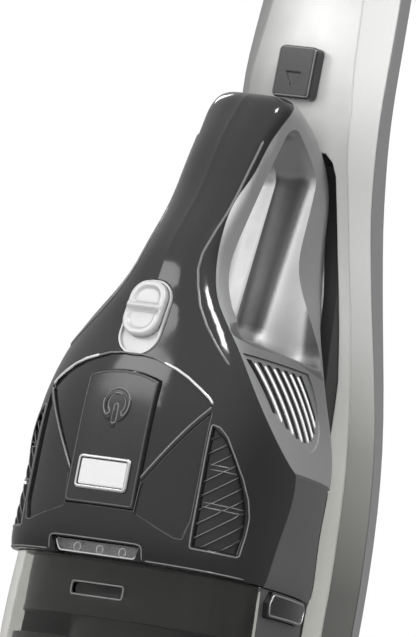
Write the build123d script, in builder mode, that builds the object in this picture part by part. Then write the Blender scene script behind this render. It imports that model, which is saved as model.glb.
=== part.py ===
from build123d import *
import math
import os

os.makedirs("parts", exist_ok=True)

# Driving dimensions in millimetres.  X is to the right, Y to the back, Z up, floor at Z = 0.
SEAM_Z = 450.0          # height of the joint line between hand unit and dust bin
HAND_Y = -76.0          # front of the dust bin at that joint line
WALL = 2.4              # moulded wall of the casings
SEAM_GAP = 0.35         # parting gap between neighbouring casings
CLEAR = 0.35            # clearance round the moving buttons

# Sections of the hand unit above the joint line:
# height, half width, front, depth of the nose, rear, squareness of the rear, crease of the nose
HAND_SECTIONS = [
    (0.0, 62.5, -6.0, 38.5, 109.0, 2.1, 0.0),
    (9.0, 62.6, -8.5, 40.5, 110.0, 2.1, 0.0),
    (24.0, 61.0, -9.5, 41.0, 110.0, 2.1, 0.0),
    (48.0, 60.5, -9.5, 41.0, 110.0, 2.1, 0.0),
    (66.0, 57.5, -9.0, 39.0, 109.0, 2.1, 0.0),
    (81.0, 52.0, -7.0, 34.0, 104.6, 2.2, 0.0),
    (96.0, 43.5, -3.5, 27.0, 102.6, 2.4, 0.02),
    (110.0, 32.0, -0.8, 21.0, 101.8, 3.0, 0.06),
    (124.0, 22.5, 2.2, 16.0, 100.8, 4.2, 0.12),
    (138.0, 18.0, 6.5, 13.5, 98.8, 5.4, 0.2),
    (156.0, 17.5, 15.5, 12.0, 94.6, 6.0, 0.25),
    (178.0, 18.3, 23.0, 12.0, 87.4, 6.0, 0.25),
    (194.0, 19.8, 29.6, 12.0, 72.8, 4.2, 0.25),
    (202.5, 19.0, 34.2, 10.0, 60.0, 3.0, 0.2),
    (206.5, 14.0, 38.6, 6.5, 52.5, 2.5, 0.1),
]
NOSE_SQUARE = 2.6

# Sections of the dust bin below the joint line, in the same order.
BIN_SECTIONS = [
    (-0.4, 60.8, 0.5, 31.0, 106.0, 2.1, 0.0),
    (-36.0, 62.6, 1.0, 31.0, 105.5, 2.1, 0.0),
    (-72.0, 59.5, 3.5, 30.0, 103.0, 2.2, 0.0),
    (-98.0, 52.0, 8.0, 28.0, 98.0, 2.4, 0.0),
]
BIN_SPLIT = 31.5        # depth at which the clear cup meets its silver back
LATCH_W = 26.0          # slot in the cup for the hook of the bin button
LATCH_H = 4.4
LATCH_Z = -13.5
NOZZLE_END = -132.0     # bottom of the nozzle below the joint line

# Line where the black cover ends and the silver side shells begin, back from the front and up.
EDGE_LOW = [(30.5, -2.0), (36.5, 18.0), (41.5, 34.0), (41.5, 49.0)]
EDGE_HIGH = [(41.5, 49.0), (27.0, 59.0), (14.5, 77.0), (10.0, 96.0), (9.5, 114.0), (12.5, 128.0),
             (17.0, 145.0), (22.5, 160.0), (29.0, 172.0), (36.0, 189.0), (44.5, 201.5), (52.0, 209.0)]

# Finger opening of the handle loop, back from the front and up, on the centre plane.
LOOP_CORNERS = [(50.5, 195.0), (68.5, 176.0), (57.0, 100.0), (21.0, 117.5)]
LOOP_RADII = [6.0, 9.0, 9.0, 9.0]
LOOP_HALF = 19.5
LOOP_BACK_ROUND = 24.0
LOOP_FRONT_ROUND = 5.0
LOOP_FLOOR_ROUND = 3.0
LOOP_SIDE_DROP = 19.0
LOOP_SPREAD = 0.8
LOOP_FLARE = 2.1        # how much more the lower front corner opens out than the top

# Exhaust slots in the shoulders.
SLOT_COUNT = 7
SLOT_TOP_Z = 92.0
SLOT_FIRST = 15.0
SLOT_STEP = 6.35
SLOT_WIDTH = 2.8
VENT_LOW = [(12.0, 94.0), (16.5, 82.5), (24.0, 70.0), (34.0, 63.6), (43.0, 60.4), (50.0, 59.8), (56.5, 61.8),
            (61.5, 66.4), (64.5, 74.0), (61.0, 94.0)]
FLANK_TOP = 49.5        # fold between the shoulder and the lower flank of the side shells

# Push pad, bin button, slide switch and lamp on the front.
PAD_HALF = 18.0
PAD_LOW = 21.0
PAD_HIGH = 78.5
PAD_PROUD = 0.8
BUTTON_W = 25.0
BUTTON_H = 11.8
BUTTON_Z = 34.2
FRAME_W = 1.3
SWITCH_W = 18.6
SWITCH_L = 24.5
SWITCH_TRAVEL = 6.4
TRACK_W = 21.0
TRACK_L = 33.4
TRACK_Z = 102.2
TRACK_Y = -2.07
LAMP_HALF = 20.0
LAMP_H = 5.0

# Slanting ribs of the side grilles: pitch in height, rise for each millimetre across the corner, width.
RIB_STEP = 6.0
RIB_RISE = 0.75
RIB_WIDTH = 1.0

# Fan motor and cells.
MOTOR_Y = 48.0
MOTOR_R = 22.0
FAN_R = 36.0
CELL_R = 11.2
CELL_L = 43.0
CELL_SPOTS = [(38.0, 48.0), (27.0, 77.0), (30.0, 17.0)]

# Spine sections, height from the joint line:
# height, front, half width of the front face, half width, depth of bevel, depth of side, depth of back
SPINE_SECTIONS = [
    (-320.0, 127.5, 21.0, 27.0, 8.0, 14.0, 25.0),
    (-250.0, 127.5, 24.0, 32.0, 9.0, 14.0, 26.0),
    (-130.0, 127.5, 25.0, 34.0, 9.0, 14.0, 26.0),
    (-30.0, 127.2, 25.0, 34.0, 9.0, 14.0, 25.5),
    (20.0, 126.3, 25.0, 34.0, 9.0, 14.0, 25.0),
    (57.0, 122.7, 25.0, 34.0, 8.0, 13.5, 24.0),
    (86.0, 117.7, 24.5, 33.0, 7.0, 13.0, 22.5),
    (114.0, 109.8, 24.0, 31.4, 6.0, 13.4, 22.0),
    (150.0, 96.4, 24.6, 31.0, 5.8, 14.8, 24.0),
    (181.0, 81.8, 26.4, 34.2, 7.6, 16.6, 27.5),
    (195.0, 76.0, 27.2, 36.2, 8.6, 17.2, 28.0),
    (209.0, 72.2, 27.8, 37.6, 9.2, 17.0, 28.5),
    (220.0, 71.2, 27.0, 37.8, 9.6, 17.2, 28.5),
    (256.0, 73.4, 23.4, 36.0, 9.4, 16.4, 27.0),
    (290.0, 72.4, 21.5, 34.2, 9.6, 17.4, 27.0),
    (330.0, 71.0, 20.5, 33.0, 10.0, 18.2, 27.2),
]
SPINE_WALL = 2.6
DOCK_HALF = 20.0        # half width of the dock opening at its top
DOCK_NARROW = 14.4      # and at the level of the joint line
DOCK_TOP = 190.0
DOCK_LOW = -112.0
RELEASE_Z = 221.5
RELEASE_W = 20.0
RELEASE_H = 22.5
RELEASE_OUT = 6.5
RELEASE_TRAVEL = 3.0
HOOK_DROP = -24.0       # hook of the latch below the middle of the release button

# Upper handle.
TUBE_LOW = 332.0
TUBE_HIGH = 540.0
TUBE_Y = 84.5
HANG_R = 5.0

# Floor head.
HEAD_HALF = 132.0
HEAD_FRONT = -88.4
HEAD_REAR = 36.0
HEAD_CORNER = 24.0
PIVOT_Y = 64.5
PIVOT_Z = 46.0
DRUM_R = 26.0
DRUM_HALF = 29.5
PIN_R = 6.0
PIN_FIT = 0.05
WHEEL_R = 24.0
WHEEL_W = 13.0
WHEEL_X = 49.5
AXLE_R = 3.0
BRUSH_Y = -62.0
BRUSH_Z = 20.0
BRUSH_CORE = 11.0
BRUSH_R = 18.0
BRUSH_LOW = -100.0
BRUSH_HIGH = 112.0
MOTOR_SHAFT_Y = -12.0
MOTOR_SHAFT_Z = 28.0


def at(y, z):
    """Place a hand unit point, back and up, in the frame of the whole cleaner."""
    return (y + HAND_Y, z + SEAM_Z)


def save(part, name):
    part.label = name
    export_step(part, "parts/" + name + ".step")


def nose_arc(half, front, nose, rear, square, crease):
    """Points of one side of a section, from the front centre round to the rear centre."""
    wide = front + nose
    points = []
    for step in range(6):
        turn = math.radians(18.0 * step)
        x = half * math.sin(turn) ** (2.0 / NOSE_SQUARE)
        y = wide - nose * max(math.cos(turn), 0.0) ** (2.0 / NOSE_SQUARE)
        points.append((x, y + crease * nose * 0.35 * x / half * max(0.0, 1.0 - x / half)))
    for step in range(1, 6):
        turn = math.radians(18.0 * step)
        x = half * max(math.cos(turn), 0.0) ** (2.0 / square)
        y = wide + (rear - wide) * math.sin(turn) ** (2.0 / square)
        points.append((x, y))
    points[-1] = (0.0, rear)
    return points


def half_form(rows, inset):
    """Right half of a casing form lofted through its sections, drawn in by an inset."""
    with BuildPart() as form:
        for height, half, front, nose, rear, square, crease in rows:
            side = nose_arc(half - inset, front + inset, nose - inset * 0.2, rear - inset, square, crease)
            side = [(x, y + HAND_Y) for x, y in side]
            with BuildSketch(Plane.XY.offset(SEAM_Z + height)):
                with BuildLine():
                    Spline(side, tangents=[(1.0, crease), (-1.0, 0.0)])
                    Line(side[-1], side[0])
                make_face()
        loft()
    return form.part


def side_slab(points, low, high, curves=()):
    """Slab between two X positions, drawn as an outline seen from the side."""
    with BuildPart() as block:
        with BuildSketch(Plane.YZ.offset(low)):
            with BuildLine():
                for run in curves:
                    Spline([at(y, z) for y, z in run])
                Polyline([at(y, z) for y, z in points])
            make_face()
        extrude(amount=high - low)
    return block.part


def front_slab(points, near, far, curves=()):
    """Slab between two depths, drawn as an outline seen from the front."""
    with BuildPart() as block:
        with BuildSketch(Plane.XZ.offset(-(near + HAND_Y))):
            with BuildLine():
                for run in curves:
                    Spline([(x, z + SEAM_Z) for x, z in run])
                Polyline([(x, z + SEAM_Z) for x, z in points])
            make_face()
        extrude(amount=-(far - near))
    return block.part


def box(x0, x1, y0, y1, z0, z1):
    """Block between two corners in the frame of the whole cleaner."""
    with BuildPart() as block:
        with Locations(((x0 + x1) / 2, (y0 + y1) / 2, (z0 + z1) / 2)):
            Box(x1 - x0, y1 - y0, z1 - z0)
    return block.part


def rod(x0, x1, y, z, radius):
    """Round bar along X."""
    with BuildPart() as bar:
        with BuildSketch(Plane.YZ.offset(x0)):
            with Locations((y, z)):
                Circle(radius)
        extrude(amount=x1 - x0)
    return bar.part


def loop_face(offset):
    """Corner points of the finger opening at a distance from the centre plane."""
    share = min(abs(offset) / LOOP_HALF, 1.0)
    lift = 1.0 - math.sqrt(max(0.0, 1.0 - share * share * 0.985))
    back = LOOP_BACK_ROUND * lift
    fore = LOOP_FRONT_ROUND * lift
    down = LOOP_FLOOR_ROUND * lift
    back += LOOP_SPREAD * max(abs(offset) - LOOP_HALF, 0.0)
    (ty, tz), (ry, rz), (by, bz), (fy, fz) = LOOP_CORNERS
    return [(ty - fore, tz + down), (ry + back * 0.25, rz + down),
            (by + back, bz - down), (fy - fore * LOOP_FLARE, fz - LOOP_SIDE_DROP * lift)]


def loop_sketch(offset):
    points = [at(y, z) for y, z in loop_face(offset)]
    with BuildSketch(Plane.YZ.offset(offset)) as face:
        with BuildLine():
            Polyline(points, close=True)
        make_face()
        for (y, z), radius in zip(points, LOOP_RADII):
            fillet(face.vertices().sort_by_distance((y, z, 0.0))[0], radius)
    return face.sketch


# Hand unit: the outer form, its hollow and the finger opening, on the right half.
outer_half = half_form(HAND_SECTIONS, 0.0)
inner_rows = [row for row in HAND_SECTIONS if row[0] < 82.0] + [(88.0, 48.2, -5.4, 31.0, 103.2, 2.3, 0.0)]
inner_half = half_form(inner_rows, WALL)

with BuildPart() as loop_tool:
    for spot in (-8.0, 0.0, 8.0, 16.0, LOOP_HALF, 26.0, 34.0, 44.0):
        add(loop_sketch(spot))
    loft()

body_half = outer_half - loop_tool.part
front_zone = side_slab([EDGE_HIGH[-1], (-40.0, 209.0), (-40.0, -2.0), EDGE_LOW[0]], -1.0, 80.0,
                       (EDGE_LOW, EDGE_HIGH))
with BuildPart() as rear_line:
    add(front_zone)
    add(front_zone.moved(Location((0.0, SEAM_GAP, 0.0))))

# Recessed facets of the front cover.
skin = outer_half - half_form(HAND_SECTIONS, 0.8)
shield = front_slab([(42.5, 69.0), (18.0, 34.0), (-1.0, 34.0), (-1.0, 86.5)], -20.0, 20.0,
                    ([(-1.0, 86.5), (15.0, 84.3), (33.0, 76.5), (42.5, 69.0)],))
panel = front_slab([(18.6, 19.2), (19.4, 33.2), (42.6, 66.2), (43.0, 20.0), (40.5, 12.0)], -20.0, 20.0,
                   ([(40.5, 12.0), (31.0, 14.8), (18.6, 19.2)],))

# Openings in the cover.
pad_top = [(-PAD_HALF, PAD_HIGH - 3.0), (0.0, PAD_HIGH), (PAD_HALF, PAD_HIGH - 3.0)]
pad_zone = front_slab([pad_top[-1], (PAD_HALF, PAD_LOW), (-PAD_HALF, PAD_LOW), pad_top[0]], -30.0, -3.5,
                      (pad_top,))
hole_top = [(-PAD_HALF - CLEAR, PAD_HIGH - 3.0 + CLEAR), (0.0, PAD_HIGH + CLEAR),
            (PAD_HALF + CLEAR, PAD_HIGH - 3.0 + CLEAR)]
pad_hole = front_slab([hole_top[-1], (PAD_HALF + CLEAR, PAD_LOW - CLEAR),
                       (-PAD_HALF - CLEAR, PAD_LOW - CLEAR), hole_top[0]], -30.0, 8.0, (hole_top,))
GRILLE_SIDE = [(58.6, 10.0), (58.2, 26.0), (55.6, 41.0), (49.2, 56.0)]
grille_zone = front_slab([GRILLE_SIDE[-1], (44.6, 60.0), (45.6, 10.0), GRILLE_SIDE[0]], -20.0, 30.0,
                         (GRILLE_SIDE,))
GRILLE_HOLE = [(58.9, 9.7), (58.5, 26.0), (55.9, 41.1), (49.4, 56.4)]
grille_hole = front_slab([GRILLE_HOLE[-1], (44.3, 60.8), (45.3, 9.7), GRILLE_HOLE[0]], -20.0, 30.0,
                         (GRILLE_HOLE,))
lamp_hole = front_slab([(-LAMP_HALF - 3.5, 6.3), (LAMP_HALF + 3.5, 6.3), (LAMP_HALF + 0.4, -1.0),
                        (-LAMP_HALF - 0.4, -1.0), (-LAMP_HALF - 3.5, 6.3)], -20.0, 6.0)

track_plane = Plane(origin=(0.0, TRACK_Y + HAND_Y, TRACK_Z + SEAM_Z), x_dir=(1, 0, 0),
                    z_dir=(0.0, -0.978, 0.209))
with BuildPart() as track_hole:
    with BuildSketch(track_plane.offset(-4.0)):
        RectangleRounded(TRACK_W + 2 * CLEAR, TRACK_L + 2 * CLEAR, 9.6)
    extrude(amount=16.0)

cover_half = (body_half & front_zone) - inner_half
cover_half = cover_half - (skin & shield) - (skin & panel)
cover_half = cover_half - pad_hole - grille_hole - lamp_hole - track_hole.part
hand_cover = cover_half + mirror(cover_half, about=Plane.YZ)
save(hand_cover, "hand_cover")

# Silver side shells with the slotted exhaust grilles let into their shoulders.
shell_half = body_half - rear_line.part - inner_half
slots = None
for index in range(SLOT_COUNT):
    top_y = SLOT_FIRST + SLOT_STEP * index
    low_y = 26.0 + 9.3 * index - 0.58 * index * index
    low_z = 72.0 - 6.0 * index + 1.08 * index * index
    half_w = SLOT_WIDTH / 2
    slot = side_slab([(top_y - half_w, SLOT_TOP_Z), (top_y + half_w, SLOT_TOP_Z), (low_y + half_w, low_z),
                      (low_y - half_w, low_z), (top_y - half_w, SLOT_TOP_Z)], 24.0, 80.0)
    slots = slot if slots is None else slots + slot
vent_panel = side_slab([VENT_LOW[-1], VENT_LOW[0]], 24.0, 80.0, (VENT_LOW,))
flank = box(-1.0, 90.0, HAND_Y + 20.0, HAND_Y + 130.0, SEAM_Z - 1.0, SEAM_Z + FLANK_TOP)
shell_half = shell_half - (skin & vent_panel) - (skin & flank) - slots
shell_half = shell_half.solids().sort_by(SortBy.VOLUME)[-1]
hand_shell_right = Part(shell_half.wrapped)
save(hand_shell_right, "hand_shell_right")
save(mirror(hand_shell_right, about=Plane.YZ), "hand_shell_left")


# Push pad with its raised switch mark, the frame of the bin button and the button itself.
pad_form = half_form(HAND_SECTIONS[1:6], -PAD_PROUD)
pad_half = pad_form & pad_zone
mark_form = half_form(HAND_SECTIONS[1:6], -PAD_PROUD - 0.5)
with BuildPart() as mark_zone:
    with BuildSketch(Plane.XZ.offset(-(HAND_Y - 4.5))):
        with Locations((0.0, SEAM_Z + 63.0)):
            Circle(7.0)
            Circle(5.4, mode=Mode.SUBTRACT)
        with Locations((0.0, SEAM_Z + 57.5)):
            Rectangle(5.0, 6.0, mode=Mode.SUBTRACT)
            Rectangle(1.6, 7.0)
    extrude(amount=20.0)
pad_half = pad_half + (mark_form & mark_zone.part)
with BuildPart() as frame_hole:
    with BuildSketch(Plane.XZ.offset(-(HAND_Y - 30.0))):
        with Locations((0.0, SEAM_Z + BUTTON_Z)):
            RectangleRounded(BUTTON_W + 2 * FRAME_W, BUTTON_H + 2 * FRAME_W, 2.0)
    extrude(amount=-40.0)
pad_half = pad_half - frame_hole.part
power_pad = pad_half + mirror(pad_half, about=Plane.YZ)
save(power_pad, "power_pad")

with BuildPart() as button_frame:
    with BuildSketch(Plane.XZ.offset(-(HAND_Y - 11.2))):
        with Locations((0.0, SEAM_Z + BUTTON_Z)):
            RectangleRounded(BUTTON_W + 2 * FRAME_W, BUTTON_H + 2 * FRAME_W, 2.0)
            RectangleRounded(BUTTON_W, BUTTON_H, 1.0, mode=Mode.SUBTRACT)
    extrude(amount=-7.0)
    chamfer(button_frame.faces().sort_by(Axis.Y)[0].outer_wire().edges(), 0.5)
save(button_frame.part, "button_frame")

with BuildPart() as bin_button:
    with BuildSketch(Plane.XZ.offset(-(HAND_Y - 10.9))):
        with Locations((0.0, SEAM_Z + BUTTON_Z)):
            RectangleRounded(BUTTON_W - 2 * CLEAR, BUTTON_H - 2 * CLEAR, 0.9)
    extrude(amount=-8.5)
    fillet(bin_button.faces().sort_by(Axis.Y)[0].edges(), 0.7)
save(bin_button.part, "bin_button")

# Slide switch in its track.
with BuildPart() as switch_track:
    with BuildSketch(track_plane.offset(-3.6)):
        RectangleRounded(TRACK_W, TRACK_L, 9.4)
    extrude(amount=3.0)
    with BuildSketch(track_plane.offset(-0.6)):
        RectangleRounded(TRACK_W, TRACK_L, 9.4)
        RectangleRounded(TRACK_W - 1.6, TRACK_L - 1.6, 8.7, mode=Mode.SUBTRACT)
    extrude(amount=1.2)
save(switch_track.part, "switch_track")

switch_rise = (TRACK_L - 1.6 - 2 * CLEAR - SWITCH_L) / 2
switch_plane = Plane(origin=track_plane.origin + track_plane.y_dir * switch_rise, x_dir=(1, 0, 0),
                     z_dir=track_plane.z_dir)
with BuildPart() as slide_switch:
    with BuildSketch(switch_plane.offset(-0.25)):
        RectangleRounded(SWITCH_W, SWITCH_L, 8.0)
    extrude(amount=4.2)
    fillet(slide_switch.faces().sort_by(Axis.Y)[0].edges(), 1.0)
    with Locations(switch_plane.offset(24.6)):
        with Locations((0.0, 6.6, 0.0), (0.0, -6.6, 0.0)):
            Sphere(22.0, mode=Mode.SUBTRACT)
save(slide_switch.part, "slide_switch")

# Lamp behind its clear window at the lower edge of the cover.
with BuildPart() as led_lens:
    with BuildSketch(Plane.XZ.offset(-(HAND_Y - 4.2))):
        with BuildLine():
            Polyline((-LAMP_HALF - 3.0, SEAM_Z + 5.9), (LAMP_HALF + 3.0, SEAM_Z + 5.9),
                     (LAMP_HALF, SEAM_Z + 0.6), (-LAMP_HALF, SEAM_Z + 0.6), close=True)
        make_face()
    extrude(amount=-2.2)
save(led_lens.part, "led_lens")
with BuildPart() as led_board:
    add(box(-19.0, 19.0, HAND_Y + 2.0, HAND_Y + 3.4, SEAM_Z + 0.8, SEAM_Z + 5.6))
    for spot in (-12.0, 0.0, 12.0):
        with BuildSketch(Plane.XZ.offset(-(HAND_Y + 2.0))):
            with Locations((spot, SEAM_Z + 3.2)):
                Circle(1.9)
        extrude(amount=3.4)
save(led_board.part, "led_board")

# Side grilles: stepped panels with slanting ribs, set out across the corner of the cover.
panel_back = half_form(HAND_SECTIONS[:6], 3.2)
panel_face = half_form(HAND_SECTIONS[:6], 1.1)
rib_face = half_form(HAND_SECTIONS[:6], 0.25)
grille_plate = (panel_face - panel_back) & grille_zone
corner_plane = Plane(origin=(0.0, HAND_Y, SEAM_Z), x_dir=(1, 1, 0), z_dir=(1, -1, 0))
bars = None
for index in range(-4, 11):
    low = 4.0 + RIB_STEP * index
    high = low + RIB_RISE * 36.0
    with BuildPart() as bar:
        with BuildSketch(corner_plane.offset(-10.0)):
            with BuildLine():
                Polyline([(28.0, low), (64.0, high), (64.0, high + RIB_WIDTH), (28.0, low + RIB_WIDTH)],
                         close=True)
            make_face()
        extrude(amount=80.0)
    bars = bar.part if bars is None else bars + bar.part
for step in (27.0, 43.0):
    bars = bars - front_slab([(40.0, step), (64.0, step), (64.0, step + 1.8), (40.0, step + 1.8),
                              (40.0, step)], -20.0, 30.0)
ribs = ((rib_face - panel_back) & grille_zone) & bars
side_grille = (grille_plate + ribs).solids().sort_by(SortBy.VOLUME)[-1]
save(side_grille, "side_grille_right")
save(mirror(side_grille, about=Plane.YZ), "side_grille_left")

# Fan shroud that closes the lower end, motor, rotor and cells.
floor_half = half_form(HAND_SECTIONS[:2], WALL + 0.3)
shroud_axis = Plane(origin=(0.0, MOTOR_Y + HAND_Y, SEAM_Z), z_dir=(0, 0, 1))
with BuildPart() as fan_shroud:
    add(floor_half)
    mirror(about=Plane.YZ)
    add(box(-70.0, 70.0, -90.0, 60.0, SEAM_Z + 3.4, SEAM_Z + 40.0), mode=Mode.SUBTRACT)
    add(box(-26.0, 26.0, HAND_Y - 12.0, HAND_Y + 8.0, SEAM_Z - 1.0, SEAM_Z + 8.0), mode=Mode.SUBTRACT)
    with BuildSketch(shroud_axis.offset(3.4)):
        Circle(FAN_R + 3.0)
        Circle(FAN_R + 1.2, mode=Mode.SUBTRACT)
    extrude(amount=22.0)
    with BuildSketch(shroud_axis.offset(25.4)):
        Circle(FAN_R + 3.0)
        Circle(MOTOR_R - 2.0, mode=Mode.SUBTRACT)
    extrude(amount=2.0)
    with BuildSketch(shroud_axis.offset(-1.0)):
        Circle(17.0)
    extrude(amount=8.0, mode=Mode.SUBTRACT)
    with BuildSketch(shroud_axis.offset(20.0)):
        with PolarLocations(FAN_R - 6.0, 8):
            Circle(4.0)
    extrude(amount=12.0, mode=Mode.SUBTRACT)
save(fan_shroud.part, "fan_shroud")
with BuildPart() as motor_can:
    with BuildSketch(shroud_axis.offset(30.0)):
        Circle(MOTOR_R)
    extrude(amount=44.0)
    fillet(motor_can.edges().group_by(Axis.Z)[-1], 2.0)
    with BuildSketch(shroud_axis.offset(30.0)):
        Circle(2.55)
    extrude(amount=30.0, mode=Mode.SUBTRACT)
save(motor_can.part, "motor_can")
with BuildPart() as motor_mounts:
    with BuildSketch(shroud_axis.offset(27.4)):
        Circle(MOTOR_R + 1.5)
        Circle(MOTOR_R - 4.0, mode=Mode.SUBTRACT)
    extrude(amount=2.6)
save(motor_mounts.part, "motor_mounts")
with BuildPart() as fan_rotor:
    with BuildSketch(shroud_axis.offset(19.0)):
        Circle(FAN_R)
    extrude(amount=2.0)
    with BuildSketch(shroud_axis.offset(9.0)):
        with PolarLocations(0.0, 9):
            with Locations(Location((22.0, 0.0, 0.0), 24.0)):
                Rectangle(22.0, 1.6)
        Circle(9.0)
    extrude(amount=10.0)
    with BuildSketch(shroud_axis.offset(9.0)):
        Circle(2.5)
    extrude(amount=48.0)
save(fan_rotor.part, "fan_rotor")
with BuildPart() as battery_cells:
    for x, y in CELL_SPOTS:
        for side in (-1.0, 1.0):
            with BuildSketch(Plane.XY.offset(SEAM_Z + 30.0)):
                with Locations((side * x, y + HAND_Y)):
                    Circle(CELL_R)
            extrude(amount=CELL_L)
            with BuildSketch(Plane.XY.offset(SEAM_Z + 30.0 + CELL_L)):
                with Locations((side * x, y + HAND_Y)):
                    Circle(4.0)
            extrude(amount=1.2)
save(battery_cells.part, "battery_cells")
with BuildPart() as control_board:
    add(box(-17.0, 17.0, HAND_Y + 9.0, HAND_Y + 10.6, SEAM_Z + 28.6, SEAM_Z + 78.0))
    add(box(-12.0, -4.0, HAND_Y + 5.0, HAND_Y + 9.0, SEAM_Z + 60.0, SEAM_Z + 68.0))
    add(box(3.0, 13.0, HAND_Y + 4.0, HAND_Y + 9.0, SEAM_Z + 44.0, SEAM_Z + 54.0))
    add(box(-14.0, 14.0, HAND_Y + 6.5, HAND_Y + 9.0, SEAM_Z + 29.0, SEAM_Z + 36.0))
save(control_board.part, "control_board")


# Dust bin: clear cup in front, silver back, side clips, filter, nozzle and inlet flap.
bin_outer = half_form(BIN_SECTIONS, 0.0)
bin_hollow_rows = [(0.6,) + BIN_SECTIONS[0][1:]] + BIN_SECTIONS[1:3] + [(-95.4,) + BIN_SECTIONS[3][1:]]
bin_inner = half_form(bin_hollow_rows, 2.2)
bin_wall = bin_outer - bin_inner
cup_half = bin_wall & box(-1.0, 90.0, HAND_Y - 30.0, HAND_Y + BIN_SPLIT, 300.0, 460.0)
with BuildPart() as latch_slot:
    with BuildSketch(Plane.XZ.offset(-(HAND_Y - 10.0))):
        with Locations((0.0, SEAM_Z + LATCH_Z)):
            RectangleRounded(LATCH_W, LATCH_H, 1.6)
    extrude(amount=-18.0)
cup_half = cup_half - latch_slot.part
dust_bin = cup_half + mirror(cup_half, about=Plane.YZ)
save(dust_bin, "dust_bin")

CLIP = [(37.5, -1.0), (69.5, -1.0), (73.0, -4.0), (71.0, -9.5), (67.0, -11.2), (35.0, -12.0), (34.6, -6.0),
        (37.5, -1.0)]
clip_zone = side_slab(CLIP, 20.0, 90.0)
clip_form = half_form(BIN_SECTIONS, -2.6) - half_form(BIN_SECTIONS, 2.2)
clip = clip_form & clip_zone
bin_clips = clip + mirror(clip, about=Plane.YZ)
save(bin_clips, "bin_clips")

back_half = bin_wall & box(-1.0, 90.0, HAND_Y + BIN_SPLIT + SEAM_GAP, HAND_Y + 130.0, 300.0, 460.0)
back_half = back_half - offset(clip_zone, amount=0.25)
inlet = box(-22.0, 22.0, HAND_Y + 36.0, HAND_Y + 64.0, SEAM_Z - 102.0, SEAM_Z - 90.0)
back_half = back_half - inlet
bin_back = back_half + mirror(back_half, about=Plane.YZ)
save(bin_back, "bin_back")

COLLAR_WIDE = 60.2
collar_row = (COLLAR_WIDE, 4.3, 30.0, 102.6, 2.1, 0.0)
collar_half = half_form([(-1.0,) + collar_row, (-24.0,) + collar_row], 3.2)
skirt_half = half_form([(-34.0,) + BIN_SECTIONS[1][1:], (-44.0,) + BIN_SECTIONS[1][1:]], 4.0)
collar_core = half_form([(0.0,) + collar_row, (-21.6,) + collar_row], 5.6)
filter_axis = Plane(origin=(0.0, MOTOR_Y + HAND_Y, SEAM_Z), z_dir=(0, 0, 1))
with BuildPart() as filter_cup:
    add(collar_half)
    add(skirt_half)
    mirror(about=Plane.YZ)
    with BuildSketch(filter_axis.offset(-60.0)):
        Circle(37.0)
    extrude(amount=40.0)
    add(collar_core, mode=Mode.SUBTRACT)
    add(mirror(collar_core, about=Plane.YZ), mode=Mode.SUBTRACT)
    with BuildSketch(filter_axis.offset(-57.6)):
        Circle(34.6)
    extrude(amount=50.0, mode=Mode.SUBTRACT)
save(filter_cup.part, "filter_cup")
PLEATS = 28
with BuildPart() as filter_pleats:
    with BuildSketch(filter_axis.offset(-57.0)):
        with BuildLine():
            Polyline([((33.5 if turn % 2 else 27.0) * math.cos(math.pi * turn / PLEATS),
                       (33.5 if turn % 2 else 27.0) * math.sin(math.pi * turn / PLEATS))
                      for turn in range(2 * PLEATS)], close=True)
        make_face()
        Circle(22.0, mode=Mode.SUBTRACT)
    extrude(amount=54.0)
save(filter_pleats.part, "filter_pleats")

with BuildPart() as nozzle:
    with BuildSketch(Plane.XY.offset(SEAM_Z - 98.3)):
        with Locations((0.0, HAND_Y + 53.0)):
            RectangleRounded(90.0, 74.0, 22.0)
    with BuildSketch(Plane.XY.offset(SEAM_Z + NOZZLE_END)):
        with Locations((0.0, HAND_Y + 46.0)):
            RectangleRounded(84.0, 44.0, 10.0)
    loft()
    with BuildSketch(Plane.XY.offset(SEAM_Z - 98.0)):
        with Locations((0.0, HAND_Y + 53.0)):
            RectangleRounded(85.0, 69.0, 20.0)
    with BuildSketch(Plane.XY.offset(SEAM_Z + NOZZLE_END - 0.1)):
        with Locations((0.0, HAND_Y + 46.0)):
            RectangleRounded(79.0, 39.0, 8.0)
    loft(mode=Mode.SUBTRACT)
save(nozzle.part, "nozzle")
with BuildPart() as inlet_flap:
    add(box(-25.0, 25.0, HAND_Y + 33.0, HAND_Y + 68.0, SEAM_Z - 95.0, SEAM_Z - 93.4))
    add(rod(-25.0, 25.0, HAND_Y + 69.0, SEAM_Z - 93.6, 1.4))
save(inlet_flap.part, "inlet_flap")


def spine_row(height):
    """Spine section at a height from the joint line, eased between the driving sections."""
    total = [0.0] * 6
    for shift in (-14.0, -7.0, 0.0, 7.0, 14.0):
        level = min(max(height + shift, SPINE_SECTIONS[0][0]), SPINE_SECTIONS[-1][0])
        for low, high in zip(SPINE_SECTIONS, SPINE_SECTIONS[1:]):
            if low[0] <= level <= high[0]:
                share = (level - low[0]) / (high[0] - low[0])
                total = [so_far + (a + share * (b - a)) / 5.0
                         for so_far, a, b in zip(total, low[1:], high[1:])]
                break
    return (height,) + tuple(total)


def spine_y(height):
    """Depth of the spine's front face at a height from the joint line."""
    return spine_row(height)[1]


def back_y(height):
    """Depth of the spine's back at a height from the joint line."""
    row = spine_row(height)
    return row[1] + row[6]


SPINE_STEPS = 26


def spine_loft(outline):
    low = SPINE_SECTIONS[0][0]
    high = SPINE_SECTIONS[-1][0]
    with BuildPart() as shell:
        for step in range(SPINE_STEPS + 1):
            height = low + (high - low) * step / SPINE_STEPS
            with BuildSketch(Plane.XY.offset(SEAM_Z + height)):
                with BuildLine():
                    Polyline([(x, y + HAND_Y) for x, y in outline(*spine_row(height))], close=True)
                make_face()
        loft()
    return shell.part


def front_outline(height, front, face, half, bevel, side, back):
    rim = front + bevel
    wall = SPINE_WALL
    return [(-half, rim), (-face, front), (face, front), (half, rim), (half - wall, rim),
            (face - 1.1, front + wall), (1.1 - face, front + wall), (wall - half, rim)]


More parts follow.
